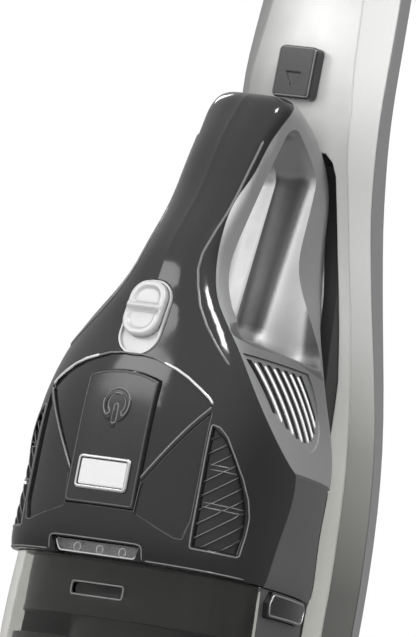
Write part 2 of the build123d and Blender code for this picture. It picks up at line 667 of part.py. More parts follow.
def rear_outline(height, front, face, half, bevel, side, back):
    rim = front + bevel + SEAM_GAP
    wall = SPINE_WALL
    tail = half * 0.7
    return [(-half, rim), (wall - half, rim), (wall - half, front + side - 1.0),
            (1.6 - tail, front + back - wall), (tail - 1.6, front + back - wall),
            (half - wall, front + side - 1.0), (half - wall, rim), (half, rim),
            (half, front + side), (tail, front + back), (-tail, front + back), (-half, front + side)]


# Spine of the stick with the dock for the hand unit.
release_plane = Plane(origin=(0.0, spine_y(RELEASE_Z) + HAND_Y, RELEASE_Z + SEAM_Z), x_dir=(1, 0, 0),
                      z_dir=(0.0, -1.0, 0.0))
dock_steps = [DOCK_LOW, -30.0, 20.0, 57.0, 86.0, 114.0, 150.0, 181.0, DOCK_TOP]
dock_front = [(spine_y(z) - 20.0, z) for z in dock_steps]
dock_back = [(spine_y(z) + 5.0, z) for z in reversed(dock_steps)]
DOCK_SIDE = [(DOCK_NARROW, DOCK_LOW - 1.0), (DOCK_NARROW, 70.0), (DOCK_HALF - 2.6, 98.0),
             (DOCK_HALF - 1.8, 150.0), (DOCK_HALF, DOCK_TOP - 9.0), (DOCK_HALF - 1.4, DOCK_TOP - 3.4),
             (DOCK_HALF - 5.0, DOCK_TOP)]


def dock_outline(inset):
    right = [(x - inset, min(z, DOCK_TOP - inset)) for x, z in DOCK_SIDE]
    left = [(-x, z) for x, z in reversed(right)]
    return front_slab(right + left + right[:1], 40.0, 180.0)


dock_window = side_slab(dock_front + dock_back + dock_front[:1], -DOCK_HALF - 1.0, DOCK_HALF + 1.0)
dock_window = dock_window & dock_outline(0.0)
with BuildPart() as spine_front:
    add(spine_loft(front_outline))
    add(dock_window, mode=Mode.SUBTRACT)
    with BuildSketch(release_plane.offset(-16.0)):
        with Locations((0.0, -RELEASE_TRAVEL / 2)):
            Rectangle(9.0, 11.0 + RELEASE_TRAVEL)
        with Locations((0.0, HOOK_DROP - RELEASE_TRAVEL / 2)):
            Rectangle(9.0, 6.0 + RELEASE_TRAVEL)
    extrude(amount=22.0, mode=Mode.SUBTRACT)
    add(box(-17.0, 17.0, HAND_Y + 120.0, HAND_Y + 134.0, SEAM_Z - 208.0, SEAM_Z - 152.0), mode=Mode.SUBTRACT)
save(spine_front.part, "spine_front")

SCREW_HEIGHTS = [-270.0, -90.0, 90.0, 290.0]
SOCKET_Z = -215.0


with BuildPart() as spine_screws:
    for height in SCREW_HEIGHTS:
        with BuildSketch(Plane.XZ.offset(-(back_y(height) + HAND_Y - 0.4))):
            with Locations((0.0, SEAM_Z + height)):
                Circle(3.2)
        extrude(amount=6.0)
        with BuildSketch(Plane.XZ.offset(-(back_y(height) + HAND_Y - 0.4))):
            with Locations((0.0, SEAM_Z + height)):
                Rectangle(3.8, 0.8)
                Rectangle(0.8, 3.8)
        extrude(amount=1.2, mode=Mode.SUBTRACT)
save(spine_screws.part, "spine_screws")
with BuildPart() as spine_rear:
    add(spine_loft(rear_outline))
    for height in SCREW_HEIGHTS:
        with BuildSketch(Plane.XZ.offset(-(back_y(height) + HAND_Y + 3.0))):
            with Locations((0.0, SEAM_Z + height)):
                Circle(3.3)
        extrude(amount=16.0, mode=Mode.SUBTRACT)
    with BuildSketch(Plane.XZ.offset(-(back_y(SOCKET_Z) + HAND_Y + 3.0))):
        with Locations((0.0, SEAM_Z + SOCKET_Z)):
            Circle(6.1)
    extrude(amount=16.0, mode=Mode.SUBTRACT)
save(spine_rear.part, "spine_rear")
with BuildPart() as charge_socket:
    with BuildSketch(Plane.XZ.offset(-(back_y(SOCKET_Z) + HAND_Y - 0.6))):
        with Locations((0.0, SEAM_Z + SOCKET_Z)):
            Circle(6.0)
            Circle(2.8, mode=Mode.SUBTRACT)
    extrude(amount=5.4)
    with BuildSketch(Plane.XZ.offset(-(back_y(SOCKET_Z) + HAND_Y - 6.0))):
        with Locations((0.0, SEAM_Z + SOCKET_Z)):
            Circle(6.0)
    extrude(amount=1.2)
save(charge_socket.part, "charge_socket")

cradle_front = [(108.5, DOCK_LOW + 0.4), (111.2, -30.0), (111.2, 48.0), (110.6, 66.0), (108.8, 81.0),
                (106.6, 96.0), (104.6, 110.0), (103.0, 124.0), (101.0, 138.0), (97.2, 156.0), (93.4, 170.0),
                (90.2, 178.0), (85.6, DOCK_TOP - 4.4)]
cradle_back = [(90.8, DOCK_TOP - 4.4), (94.6, 178.0), (98.2, 168.0), (103.4, 150.0)]
cradle_back += [(spine_y(z) + 6.5, z) for z in (114.0, 86.0, 57.0, 20.0, -30.0, DOCK_LOW + 0.4)]
CONTACT_Z = 20.0
with BuildPart() as dock_cradle:
    add(side_slab(cradle_front + cradle_back + cradle_front[:1], -DOCK_HALF, DOCK_HALF) & dock_outline(0.3))
    hollow_front = [(y + 3.0, z) for y, z in cradle_front[1:-5]]
    hollow_back = [(spine_y(z) + 8.0, z) for z in (114.0, 86.0, 57.0, 20.0, -30.0)]
    add(side_slab(hollow_front + hollow_back + hollow_front[:1], -DOCK_NARROW + 3.0, DOCK_NARROW - 3.0),
        mode=Mode.SUBTRACT)
    with BuildSketch(Plane.XZ.offset(-(HAND_Y + 100.0))):
        with Locations((-6.0, SEAM_Z + CONTACT_Z), (6.0, SEAM_Z + CONTACT_Z)):
            Circle(1.6)
    extrude(amount=-20.0, mode=Mode.SUBTRACT)
save(dock_cradle.part, "dock_cradle")
with BuildPart() as dock_contacts:
    with BuildSketch(Plane.XZ.offset(-(HAND_Y + 110.7))):
        with Locations((-6.0, SEAM_Z + CONTACT_Z), (6.0, SEAM_Z + CONTACT_Z)):
            Circle(1.6)
    extrude(amount=-9.0)
save(dock_contacts.part, "dock_contacts")

FOOT_TOP = -133.4
foot_under = [(127.2, -226.0), (98.0, -196.0), (55.0, -168.0), (16.0, -152.0)]
foot_core = [(124.2, -216.0), (98.0, -191.5), (55.0, -164.0), (19.0, -149.6)]
with BuildPart() as dock_foot:
    add(side_slab([(16.0, -152.0), (9.0, -146.0), (9.0, FOOT_TOP), (127.2, FOOT_TOP), (127.2, -226.0)],
                  -43.0, 43.0, (foot_under,)))
    fillet(dock_foot.edges().filter_by(Axis.X).sort_by(Axis.Y)[:2], 4.0)
    add(side_slab([(19.0, -149.6), (12.0, -144.0), (12.0, FOOT_TOP - 3.0), (124.2, FOOT_TOP - 3.0),
                   (124.2, -216.0)], -40.0, 40.0, (foot_core,)), mode=Mode.SUBTRACT)
    with BuildSketch(Plane.XY.offset(SEAM_Z + FOOT_TOP - 5.0)):
        with Locations((0.0, HAND_Y + 46.0)):
            RectangleRounded(74.0, 34.0, 6.0)
    extrude(amount=10.0, mode=Mode.SUBTRACT)
    add(box(-17.0, 17.0, HAND_Y + 118.0, HAND_Y + 130.0, SEAM_Z - 208.0, SEAM_Z - 152.0), mode=Mode.SUBTRACT)
save(dock_foot.part, "dock_foot")
with BuildPart() as port_seal:
    with BuildSketch(Plane.XY.offset(SEAM_Z + FOOT_TOP)):
        with Locations((0.0, HAND_Y + 46.0)):
            RectangleRounded(83.0, 43.0, 9.5)
            RectangleRounded(74.0, 34.0, 6.0, mode=Mode.SUBTRACT)
    extrude(amount=1.0)
save(port_seal.part, "port_seal")

DUCT_Y = 138.6
with BuildPart() as suction_duct:
    with BuildSketch(Plane.XY.offset(SEAM_Z - 311.0)):
        with Locations((0.0, HAND_Y + DUCT_Y)):
            RectangleRounded(40.0, 15.0, 4.0)
    extrude(amount=171.0)
    with BuildSketch(Plane.XY.offset(SEAM_Z - 312.0)):
        with Locations((0.0, HAND_Y + DUCT_Y)):
            RectangleRounded(36.8, 11.8, 2.6)
    extrude(amount=170.0, mode=Mode.SUBTRACT)
    add(box(-17.0, 17.0, HAND_Y + 128.0, HAND_Y + 135.0, SEAM_Z - 208.0, SEAM_Z - 152.0), mode=Mode.SUBTRACT)
save(suction_duct.part, "suction_duct")
with BuildPart() as swivel_socket:
    with BuildSketch(Plane.XY.offset(SEAM_Z - 319.8)):
        with Locations((0.0, PIVOT_Y)):
            RectangleRounded(34.0, 17.0, 6.0)
            Circle(7.9, mode=Mode.SUBTRACT)
    extrude(amount=8.6)
save(swivel_socket.part, "swivel_socket")

# Release button with its latch.
with BuildPart() as release_button:
    with BuildSketch(release_plane.offset(0.5)):
        RectangleRounded(RELEASE_W, RELEASE_H, 2.5)
    extrude(amount=RELEASE_OUT - 0.5)
    chamfer(release_button.faces().sort_by(Axis.Y)[0].edges(), 1.2)
    with BuildSketch(release_plane.offset(-11.0)):
        Rectangle(8.0, 10.0)
    extrude(amount=12.0)
    with BuildSketch(release_plane.offset(RELEASE_OUT - 0.6)):
        with Locations((0.0, -2.5)):
            Triangle(a=8.0, b=8.0, c=8.0, rotation=180.0)
    extrude(amount=2.0, mode=Mode.SUBTRACT)
save(release_button.part, "release_button")
with BuildPart() as release_latch:
    with BuildSketch(release_plane.offset(-13.4)):
        with Locations((0.0, -10.5)):
            Rectangle(13.0, 36.0)
    extrude(amount=2.4)
    with BuildSketch(release_plane.offset(-11.5)):
        with Locations((0.0, HOOK_DROP)):
            Rectangle(8.0, 5.0)
    extrude(amount=5.3)
save(release_latch.part, "release_latch")

# Upper handle.
tube_rows = [(330.4, 66.0, 26.8, 9.0), (352.0, 54.0, 26.0, 10.0), (380.0, 43.0, 25.0, 11.0),
             (TUBE_HIGH, 38.0, 24.0, 11.0)]
bore_rows = [(329.0,) + tube_rows[0][1:]] + tube_rows[1:3] + [(TUBE_HIGH + 1.0,) + tube_rows[3][1:]]
with BuildPart() as handle_tube:
    for height, wide, deep, corner in tube_rows:
        with BuildSketch(Plane.XY.offset(SEAM_Z + height)):
            with Locations((0.0, HAND_Y + TUBE_Y)):
                RectangleRounded(wide, deep, corner)
    loft()
    for height, wide, deep, corner in bore_rows:
        with BuildSketch(Plane.XY.offset(SEAM_Z + height)):
            with Locations((0.0, HAND_Y + TUBE_Y)):
                RectangleRounded(wide - 5.0, deep - 5.0, corner - 2.5)
    loft(mode=Mode.SUBTRACT)
save(handle_tube.part, "handle_tube")
grip_rows = [(520.0, 84.5, 44.0, 30.0, 13.0), (536.0, 84.6, 44.5, 31.0, 13.5),
             (566.0, 86.5, 41.0, 31.0, 13.5), (598.0, 92.5, 39.0, 33.0, 13.5),
             (624.0, 100.5, 38.0, 35.0, 14.0), (636.0, 104.5, 33.0, 32.0, 13.0),
             (640.0, 106.0, 26.0, 26.0, 10.0)]
with BuildPart() as handle_grip:
    for height, back, wide, deep, corner in grip_rows:
        with BuildSketch(Plane.XY.offset(SEAM_Z + height)):
            with Locations((0.0, HAND_Y + back)):
                RectangleRounded(wide, deep, corner)
    loft()
    with BuildSketch(Plane.XY.offset(SEAM_Z + 519.0)):
        with Locations((0.0, HAND_Y + TUBE_Y)):
            RectangleRounded(38.7, 24.7, 11.2)
    extrude(amount=21.3, mode=Mode.SUBTRACT)
    add(rod(-30.0, 30.0, HAND_Y + 101.0, SEAM_Z + 618.0, HANG_R), mode=Mode.SUBTRACT)
save(handle_grip.part, "handle_grip")

# Neck.
with BuildPart() as neck_yoke:
    add(rod(-DRUM_HALF, DRUM_HALF, PIVOT_Y, PIVOT_Z, DRUM_R))
    with BuildSketch(Plane.XY.offset(PIVOT_Z)):
        with Locations((0.0, PIVOT_Y)):
            Circle(19.0)
    extrude(amount=129.4 - PIVOT_Z)
    with BuildSketch(Plane.XY.offset(129.0)):
        with Locations((0.0, PIVOT_Y)):
            Circle(7.5)
    extrude(amount=9.0)
    with BuildSketch(Plane.XY.offset(PIVOT_Z)):
        with Locations((0.0, PIVOT_Y)):
            Circle(15.5)
    extrude(amount=124.0 - PIVOT_Z, mode=Mode.SUBTRACT)
    with BuildSketch(Plane.XY.offset(PIVOT_Z)):
        with Locations((0.0, PIVOT_Y)):
            Circle(5.6)
    extrude(amount=120.0, mode=Mode.SUBTRACT)
    with BuildSketch(Plane.XZ.offset(-PIVOT_Y)):
        with Locations((0.0, PIVOT_Z)):
            Circle(14.0)
    extrude(amount=40.0, mode=Mode.SUBTRACT)
    add(rod(-40.0, -20.0, PIVOT_Y, PIVOT_Z, PIN_R + PIN_FIT), mode=Mode.SUBTRACT)
    add(rod(20.0, 40.0, PIVOT_Y, PIVOT_Z, PIN_R + PIN_FIT), mode=Mode.SUBTRACT)
save(neck_yoke.part, "neck_yoke")
with BuildPart() as swivel_ring:
    with BuildSketch(Plane.XY.offset(112.0)):
        with Locations((0.0, PIVOT_Y)):
            Circle(22.5)
            Circle(19.05, mode=Mode.SUBTRACT)
    extrude(amount=16.0)
    chamfer(swivel_ring.edges().filter_by(GeomType.CIRCLE).sort_by(SortBy.RADIUS)[-2:], 1.2)
save(swivel_ring.part, "swivel_ring")
with BuildPart() as neck_pins:
    add(rod(-45.5, -20.5, PIVOT_Y, PIVOT_Z, PIN_R))
    add(rod(20.5, 45.5, PIVOT_Y, PIVOT_Z, PIN_R))
save(neck_pins.part, "neck_pins")

# Floor head.
crown = [(HEAD_FRONT, 20.0), (HEAD_FRONT + 6.0, 34.0), (-60.0, 49.0), (-25.0, 57.0), (10.0, 59.0),
         (HEAD_REAR, 57.0)]
crown_in = [(HEAD_FRONT + WALL, 20.0), (HEAD_FRONT + 8.2, 33.0), (-59.0, 46.6), (-25.0, 54.4), (10.0, 56.4),
            (HEAD_REAR - WALL, 54.6)]
BOSSES = [(-119.0, 24.0), (119.0, 24.0), (-119.0, -34.0), (119.0, -34.0)]


def head_form(outline, low_front, rear, low, inset):
    """Floor head block: side outline across the width, corners rounded in plan."""
    with BuildPart() as side:
        with BuildSketch(Plane.YZ.offset(-HEAD_HALF + inset)):
            with BuildLine():
                Spline(outline)
                Polyline(outline[-1], (rear, low), (low_front, low), outline[0])
            make_face()
        extrude(amount=2 * (HEAD_HALF - inset))
    with BuildPart() as plan:
        with BuildSketch(Plane.XY):
            with Locations((0.0, (HEAD_FRONT + HEAD_REAR) / 2 + 10.0)):
                RectangleRounded(2 * (HEAD_HALF - inset), HEAD_REAR - HEAD_FRONT + 20.0 - 2 * inset,
                                 HEAD_CORNER - inset)
        extrude(amount=100.0)
    return side.part & plan.part


head_solid = head_form(crown, HEAD_FRONT + 3.0, HEAD_REAR, 10.4, 0.0)
head_hollow = head_form(crown_in, HEAD_FRONT + 3.0 + WALL, HEAD_REAR - WALL, 10.0, WALL)
with BuildPart() as boss_posts:
    with BuildSketch(Plane.XY.offset(12.0)):
        with Locations(BOSSES):
            Circle(5.0)
    extrude(amount=60.0)
with BuildPart() as head_cover:
    add(head_solid)
    add(head_hollow - boss_posts.part, mode=Mode.SUBTRACT)
    with BuildSketch(Plane.XY.offset(8.0)):
        with Locations(BOSSES):
            Circle(1.9)
    extrude(amount=14.0, mode=Mode.SUBTRACT)
    with BuildSketch(Plane.XZ.offset(-HEAD_REAR - 2.0)):
        with Locations((0.0, 38.0)):
            Circle(15.0)
    extrude(amount=8.0, mode=Mode.SUBTRACT)
save(head_cover.part, "head_cover")

LUG_IN = 30.0
LUG_OUT = 46.0
with BuildPart() as head_base:
    add(box(-HEAD_HALF + 9.0, HEAD_HALF - 9.0, HEAD_FRONT + 4.0, HEAD_REAR, 5.0, 10.0))
    add(box(-LUG_OUT, LUG_OUT, HEAD_REAR - 4.0, PIVOT_Y + 20.0, 5.0, 10.0))
    add(box(-LUG_OUT, LUG_OUT, HEAD_REAR + 0.5, PIVOT_Y + 20.0, 9.0, 13.0))
    for side in (-1.0, 1.0):
        with BuildSketch(Plane.YZ.offset(side * (LUG_IN + LUG_OUT) / 2)):
            with BuildLine():
                Polyline((HEAD_REAR + 0.6, 8.0), (PIVOT_Y + 20.0, 8.0), (PIVOT_Y + 16.0, PIVOT_Z + 8.0),
                         (PIVOT_Y + 8.0, PIVOT_Z + 16.0), (PIVOT_Y - 8.0, PIVOT_Z + 16.0),
                         (HEAD_REAR + 0.6, PIVOT_Z - 6.0), close=True)
            make_face()
        extrude(amount=(LUG_OUT - LUG_IN) / 2, both=True)
    add(box(114.6, 122.0, BRUSH_Y - 10.0, BRUSH_Y + 10.0, 8.0, BRUSH_Z + 11.0))
    add(box(-120.0, -112.6, BRUSH_Y - 10.0, BRUSH_Y + 10.0, 8.0, BRUSH_Z + 11.0))
    add(box(-84.0, -78.0, MOTOR_SHAFT_Y - 10.0, MOTOR_SHAFT_Y + 10.0, 9.0, MOTOR_SHAFT_Z))
    add(box(-48.0, -42.0, MOTOR_SHAFT_Y - 10.0, MOTOR_SHAFT_Y + 10.0, 9.0, MOTOR_SHAFT_Z))
    add(rod(-100.0, -30.0, MOTOR_SHAFT_Y, MOTOR_SHAFT_Z, 14.0), mode=Mode.SUBTRACT)
    add(box(-112.6, 114.6, BRUSH_Y - 19.5, BRUSH_Y + 19.5, 0.0, 12.0), mode=Mode.SUBTRACT)
    add(rod(-130.0, 130.0, BRUSH_Y, BRUSH_Z, 8.0), mode=Mode.SUBTRACT)
    add(rod(-60.0, 60.0, PIVOT_Y, PIVOT_Z, PIN_R), mode=Mode.SUBTRACT)
    add(rod(-60.0, 60.0, PIVOT_Y, WHEEL_R, AXLE_R), mode=Mode.SUBTRACT)
    with BuildSketch(Plane.XY):
        with Locations(BOSSES):
            Circle(3.3)
    extrude(amount=12.0, mode=Mode.SUBTRACT)
save(head_base.part, "head_base")
with BuildPart() as head_screws:
    for x, y in BOSSES:
        with BuildSketch(Plane.XY.offset(6.0)):
            with Locations((x, y)):
                Circle(3.2)
        extrude(amount=5.6)
        with BuildSketch(Plane.XY.offset(11.0)):
            with Locations((x, y)):
                Circle(1.8)
        extrude(amount=9.0)
        with BuildSketch(Plane.XY.offset(6.0)):
            with Locations((x, y)):
                Rectangle(3.8, 0.8)
                Rectangle(0.8, 3.8)
        extrude(amount=1.4, mode=Mode.SUBTRACT)
save(head_screws.part, "head_screws")
with BuildPart() as head_bumper:
    with BuildSketch(Plane.YZ.offset(-HEAD_HALF + 26.0)):
        with BuildLine():
            Polyline((HEAD_FRONT - 0.1, 13.0), (HEAD_FRONT - 0.1, 19.5), (HEAD_FRONT - 1.4, 19.0),
                     (HEAD_FRONT - 2.1, 16.0), (HEAD_FRONT - 1.4, 12.4), (HEAD_FRONT + 1.6, 12.4), close=True)
        make_face()
    extrude(amount=2 * HEAD_HALF - 52.0)
    add(head_solid, mode=Mode.SUBTRACT)
save(head_bumper.part, "head_bumper")
with BuildPart() as glide_pads:
    for x in (-70.0, 70.0):
        add(box(x - 22.0, x + 22.0, HEAD_FRONT + 4.0, BRUSH_Y - 19.5, 0.0, 5.0))
    fillet(glide_pads.edges().filter_by(Axis.Z), 1.0)
save(glide_pads.part, "glide_pads")
with BuildPart() as brush_bearings:
    for low in (-119.0, 115.2):
        with BuildSketch(Plane.YZ.offset(low)):
            with Locations((BRUSH_Y, BRUSH_Z)):
                Circle(8.0)
                Circle(4.05, mode=Mode.SUBTRACT)
        extrude(amount=6.0)
save(brush_bearings.part, "brush_bearings")
with BuildPart() as brush_roll:
    add(rod(BRUSH_LOW, BRUSH_HIGH, BRUSH_Y, BRUSH_Z, BRUSH_CORE))
    add(rod(-120.5, 122.5, BRUSH_Y, BRUSH_Z, 4.0))
    add(rod(-109.0, -103.0, BRUSH_Y, BRUSH_Z, 9.0))
save(brush_roll.part, "brush_roll")
with BuildPart() as brush_bristles:
    for turn in range(4):
        with BuildSketch(Plane.YZ.offset(BRUSH_LOW + 4.0)):
            with Locations(Location((BRUSH_Y, BRUSH_Z), 90.0 * turn + 45.0)):
                with Locations((14.6, 0.0)):
                    Rectangle(6.8, 2.4)
        extrude(amount=BRUSH_HIGH - BRUSH_LOW - 8.0)
    add(rod(-125.0, 125.0, BRUSH_Y, BRUSH_Z, BRUSH_CORE), mode=Mode.SUBTRACT)
save(brush_bristles.part, "brush_bristles")
with BuildPart() as brush_motor:
    add(rod(-96.0, -34.0, MOTOR_SHAFT_Y, MOTOR_SHAFT_Z, 13.95))
    add(rod(-97.0, -60.0, MOTOR_SHAFT_Y, MOTOR_SHAFT_Z, 1.55), mode=Mode.SUBTRACT)
save(brush_motor.part, "brush_motor")
with BuildPart() as motor_pulley:
    add(rod(-109.0, -103.0, MOTOR_SHAFT_Y, MOTOR_SHAFT_Z, 6.0))
    add(rod(-110.0, -64.0, MOTOR_SHAFT_Y, MOTOR_SHAFT_Z, 1.5))
save(motor_pulley.part, "motor_pulley")


def belt_block(large, small):
    """Block round the two pulleys, straight between them."""
    run = math.hypot(MOTOR_SHAFT_Y - BRUSH_Y, MOTOR_SHAFT_Z - BRUSH_Z)
    slope = math.atan2(MOTOR_SHAFT_Z - BRUSH_Z, MOTOR_SHAFT_Y - BRUSH_Y)
    lean = math.acos((large - small) / run)
    points = []
    for centre_y, centre_z, radius, turn in ((BRUSH_Y, BRUSH_Z, large, slope + lean),
                                             (MOTOR_SHAFT_Y, MOTOR_SHAFT_Z, small, slope + lean),
                                             (MOTOR_SHAFT_Y, MOTOR_SHAFT_Z, small, slope - lean),
                                             (BRUSH_Y, BRUSH_Z, large, slope - lean)):
        points.append((centre_y + radius * math.cos(turn), centre_z + radius * math.sin(turn)))
    with BuildPart() as block:
        with BuildSketch(Plane.YZ.offset(-108.5)):
            with BuildLine():
                Polyline(points, close=True)
            make_face()
            with Locations((BRUSH_Y, BRUSH_Z)):
                Circle(large)
            with Locations((MOTOR_SHAFT_Y, MOTOR_SHAFT_Z)):
                Circle(small)
        extrude(amount=5.0)
    return block.part


with BuildPart() as drive_belt:
    add(belt_block(10.9, 7.9))
    add(belt_block(9.35, 6.35), mode=Mode.SUBTRACT)
save(drive_belt.part, "drive_belt")

with BuildPart() as wheel_axles:
    add(rod(32.0, WHEEL_X + WHEEL_W + 1.2, PIVOT_Y, WHEEL_R, AXLE_R))
    add(rod(-WHEEL_X - WHEEL_W - 1.2, -32.0, PIVOT_Y, WHEEL_R, AXLE_R))
    add(rod(WHEEL_X + WHEEL_W + 0.4, WHEEL_X + WHEEL_W + 1.6, PIVOT_Y, WHEEL_R, 5.0))
    add(rod(-WHEEL_X - WHEEL_W - 1.6, -WHEEL_X - WHEEL_W - 0.4, PIVOT_Y, WHEEL_R, 5.0))
save(wheel_axles.part, "wheel_axles")
for name, low in (("left", -WHEEL_X - WHEEL_W), ("right", WHEEL_X)):
    with BuildPart() as wheel:
        with BuildSketch(Plane.YZ.offset(low)):
            with Locations((PIVOT_Y, WHEEL_R)):
                Circle(WHEEL_R - 3.0)
                Circle(AXLE_R + 0.06, mode=Mode.SUBTRACT)
        extrude(amount=WHEEL_W)
        face_x = low + WHEEL_W if name == "right" else low
        with BuildSketch(Plane.YZ.offset(face_x - (3.0 if name == "right" else 0.0))):
            with Locations((PIVOT_Y, WHEEL_R)):
                Circle(WHEEL_R - 5.5)
                Circle(7.5, mode=Mode.SUBTRACT)
        extrude(amount=3.0, mode=Mode.SUBTRACT)
    save(wheel.part, "wheel_" + name)
    with BuildPart() as tyre:
        with BuildSketch(Plane.YZ.offset(low)):
            with Locations((PIVOT_Y, WHEEL_R)):
                Circle(WHEEL_R)
                Circle(WHEEL_R - 3.0, mode=Mode.SUBTRACT)
        extrude(amount=WHEEL_W)
        fillet(tyre.edges().filter_by(GeomType.CIRCLE).sort_by(SortBy.RADIUS)[-2:], 1.2)
    save(tyre.part, "tyre_" + name)
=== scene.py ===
import math

import bpy
from mathutils import Matrix, Vector
from mathutils.bvhtree import BVHTree


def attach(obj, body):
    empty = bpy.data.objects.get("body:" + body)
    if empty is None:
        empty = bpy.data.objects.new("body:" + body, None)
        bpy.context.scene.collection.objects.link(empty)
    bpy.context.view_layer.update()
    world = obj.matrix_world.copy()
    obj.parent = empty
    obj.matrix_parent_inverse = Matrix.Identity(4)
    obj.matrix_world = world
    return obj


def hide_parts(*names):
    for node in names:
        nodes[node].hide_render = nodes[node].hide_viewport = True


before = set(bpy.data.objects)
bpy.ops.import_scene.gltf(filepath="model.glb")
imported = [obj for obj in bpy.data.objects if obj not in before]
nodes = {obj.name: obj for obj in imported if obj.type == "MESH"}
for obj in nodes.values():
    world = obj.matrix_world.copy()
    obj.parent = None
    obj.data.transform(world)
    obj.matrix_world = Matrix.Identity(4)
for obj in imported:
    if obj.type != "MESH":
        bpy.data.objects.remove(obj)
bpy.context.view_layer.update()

MM = 0.001
HAND_Y = -76.0    # front of the dust bin at the joint line, mm
SEAM_Z = 450.0    # height of that joint line, mm


def spot(x, y, z):
    """Hand unit point in mm, right, back and up from the front of the joint line, in metres of the frame."""
    return Vector((x * MM, (y + HAND_Y) * MM, (z + SEAM_Z) * MM))


# Camera at the photograph's angle: front right, a little below, rolled so that the cleaner leans.
AXIS_RIGHT = Vector((0.788, 0.5855, 0.190)).normalized()
AXIS_UP = Vector((-0.0963, -0.188, 0.978)).normalized()
AXIS_BACK = AXIS_RIGHT.cross(AXIS_UP).normalized()
AXIS_UP = AXIS_BACK.cross(AXIS_RIGHT).normalized()
VIEW_DISTANCE = 5.0
VIEW_HEIGHT = 0.2654
VIEW_RIGHT = 0.0442
VIEW_UP = 0.0998
SENSOR = 36.0
centre = spot(0.0, 0.0, 0.0) + AXIS_RIGHT * VIEW_RIGHT + AXIS_UP * VIEW_UP
camera_data = bpy.data.cameras.new("camera")
camera_data.sensor_fit = "VERTICAL"
camera_data.sensor_height = SENSOR
camera_data.lens = SENSOR * VIEW_DISTANCE / VIEW_HEIGHT
camera_data.clip_end = 50.0
camera = bpy.data.objects.new("camera", camera_data)
camera_turn = Matrix((AXIS_RIGHT, AXIS_UP, AXIS_BACK)).transposed().to_4x4()
camera.matrix_world = Matrix.Translation(centre + AXIS_BACK * VIEW_DISTANCE) @ camera_turn
bpy.context.scene.collection.objects.link(camera)
bpy.context.scene.camera = camera
bpy.context.scene.view_settings.view_transform = "Standard"


# Materials.
def grow(tree, kind, **values):
    """New shader node with its properties or sockets set."""
    node = tree.nodes.new(kind)
    for key, value in values.items():
        if hasattr(node, key):
            setattr(node, key, value)
        else:
            node.inputs[key].default_value = value
    return node


def finish_material(name, colour, rough=0.4, metallic=0.0, tint=0.06, grain=2600.0, rough_play=0.05,
                    bump=0.02, bevel=0.0, coat=0.0, specular=0.5, streak=None, transmission=0.0, ior=1.46):
    """Moulded or painted surface: fine grain in its colour, its gloss and its relief, softened edges."""
    material = bpy.data.materials.new(name)
    material.use_nodes = True
    tree = material.node_tree
    shader = tree.nodes["Principled BSDF"]
    link = tree.links.new
    shader.inputs["Metallic"].default_value = metallic
    shader.inputs["Specular IOR Level"].default_value = specular
    shader.inputs["Coat Weight"].default_value = coat
    shader.inputs["Coat Roughness"].default_value = 0.06
    shader.inputs["IOR"].default_value = ior
    shader.inputs["Transmission Weight"].default_value = transmission
    place = grow(tree, "ShaderNodeTexCoord").outputs["Object"]
    if streak:
        stretch = grow(tree, "ShaderNodeMapping")
        stretch.inputs["Scale"].default_value = streak
        link(place, stretch.inputs["Vector"])
        place = stretch.outputs["Vector"]
    fine = grow(tree, "ShaderNodeTexNoise", Scale=grain, Detail=3.0, Roughness=0.6)
    link(place, fine.inputs["Vector"])
    broad = grow(tree, "ShaderNodeTexNoise", Scale=grain * 0.02, Detail=4.0, Roughness=0.55)
    link(place, broad.inputs["Vector"])
    ramp = grow(tree, "ShaderNodeValToRGB")
    ramp.color_ramp.elements[0].position = 0.3
    ramp.color_ramp.elements[1].position = 0.7
    ramp.color_ramp.elements[0].color = [c * (1.0 - tint) for c in colour] + [1.0]
    ramp.color_ramp.elements[1].color = [min(1.0, c * (1.0 + tint)) for c in colour] + [1.0]
    link(fine.outputs["Fac"], ramp.inputs["Fac"])
    link(ramp.outputs["Color"], shader.inputs["Base Color"])
    gloss = grow(tree, "ShaderNodeMapRange")
    gloss.inputs["From Min"].default_value = 0.3
    gloss.inputs["From Max"].default_value = 0.7
    gloss.inputs["To Min"].default_value = max(0.02, rough - rough_play)
    gloss.inputs["To Max"].default_value = rough + rough_play
    link(broad.outputs["Fac"], gloss.inputs["Value"])
    link(gloss.outputs["Result"], shader.inputs["Roughness"])
    relief = grow(tree, "ShaderNodeBump", Strength=bump, Distance=0.0002)
    link(fine.outputs["Fac"], relief.inputs["Height"])
    if bevel:
        edge = grow(tree, "ShaderNodeBevel", samples=6, Radius=bevel)
        link(edge.outputs["Normal"], relief.inputs["Normal"])
    link(relief.outputs["Normal"], shader.inputs["Normal"])
    return material


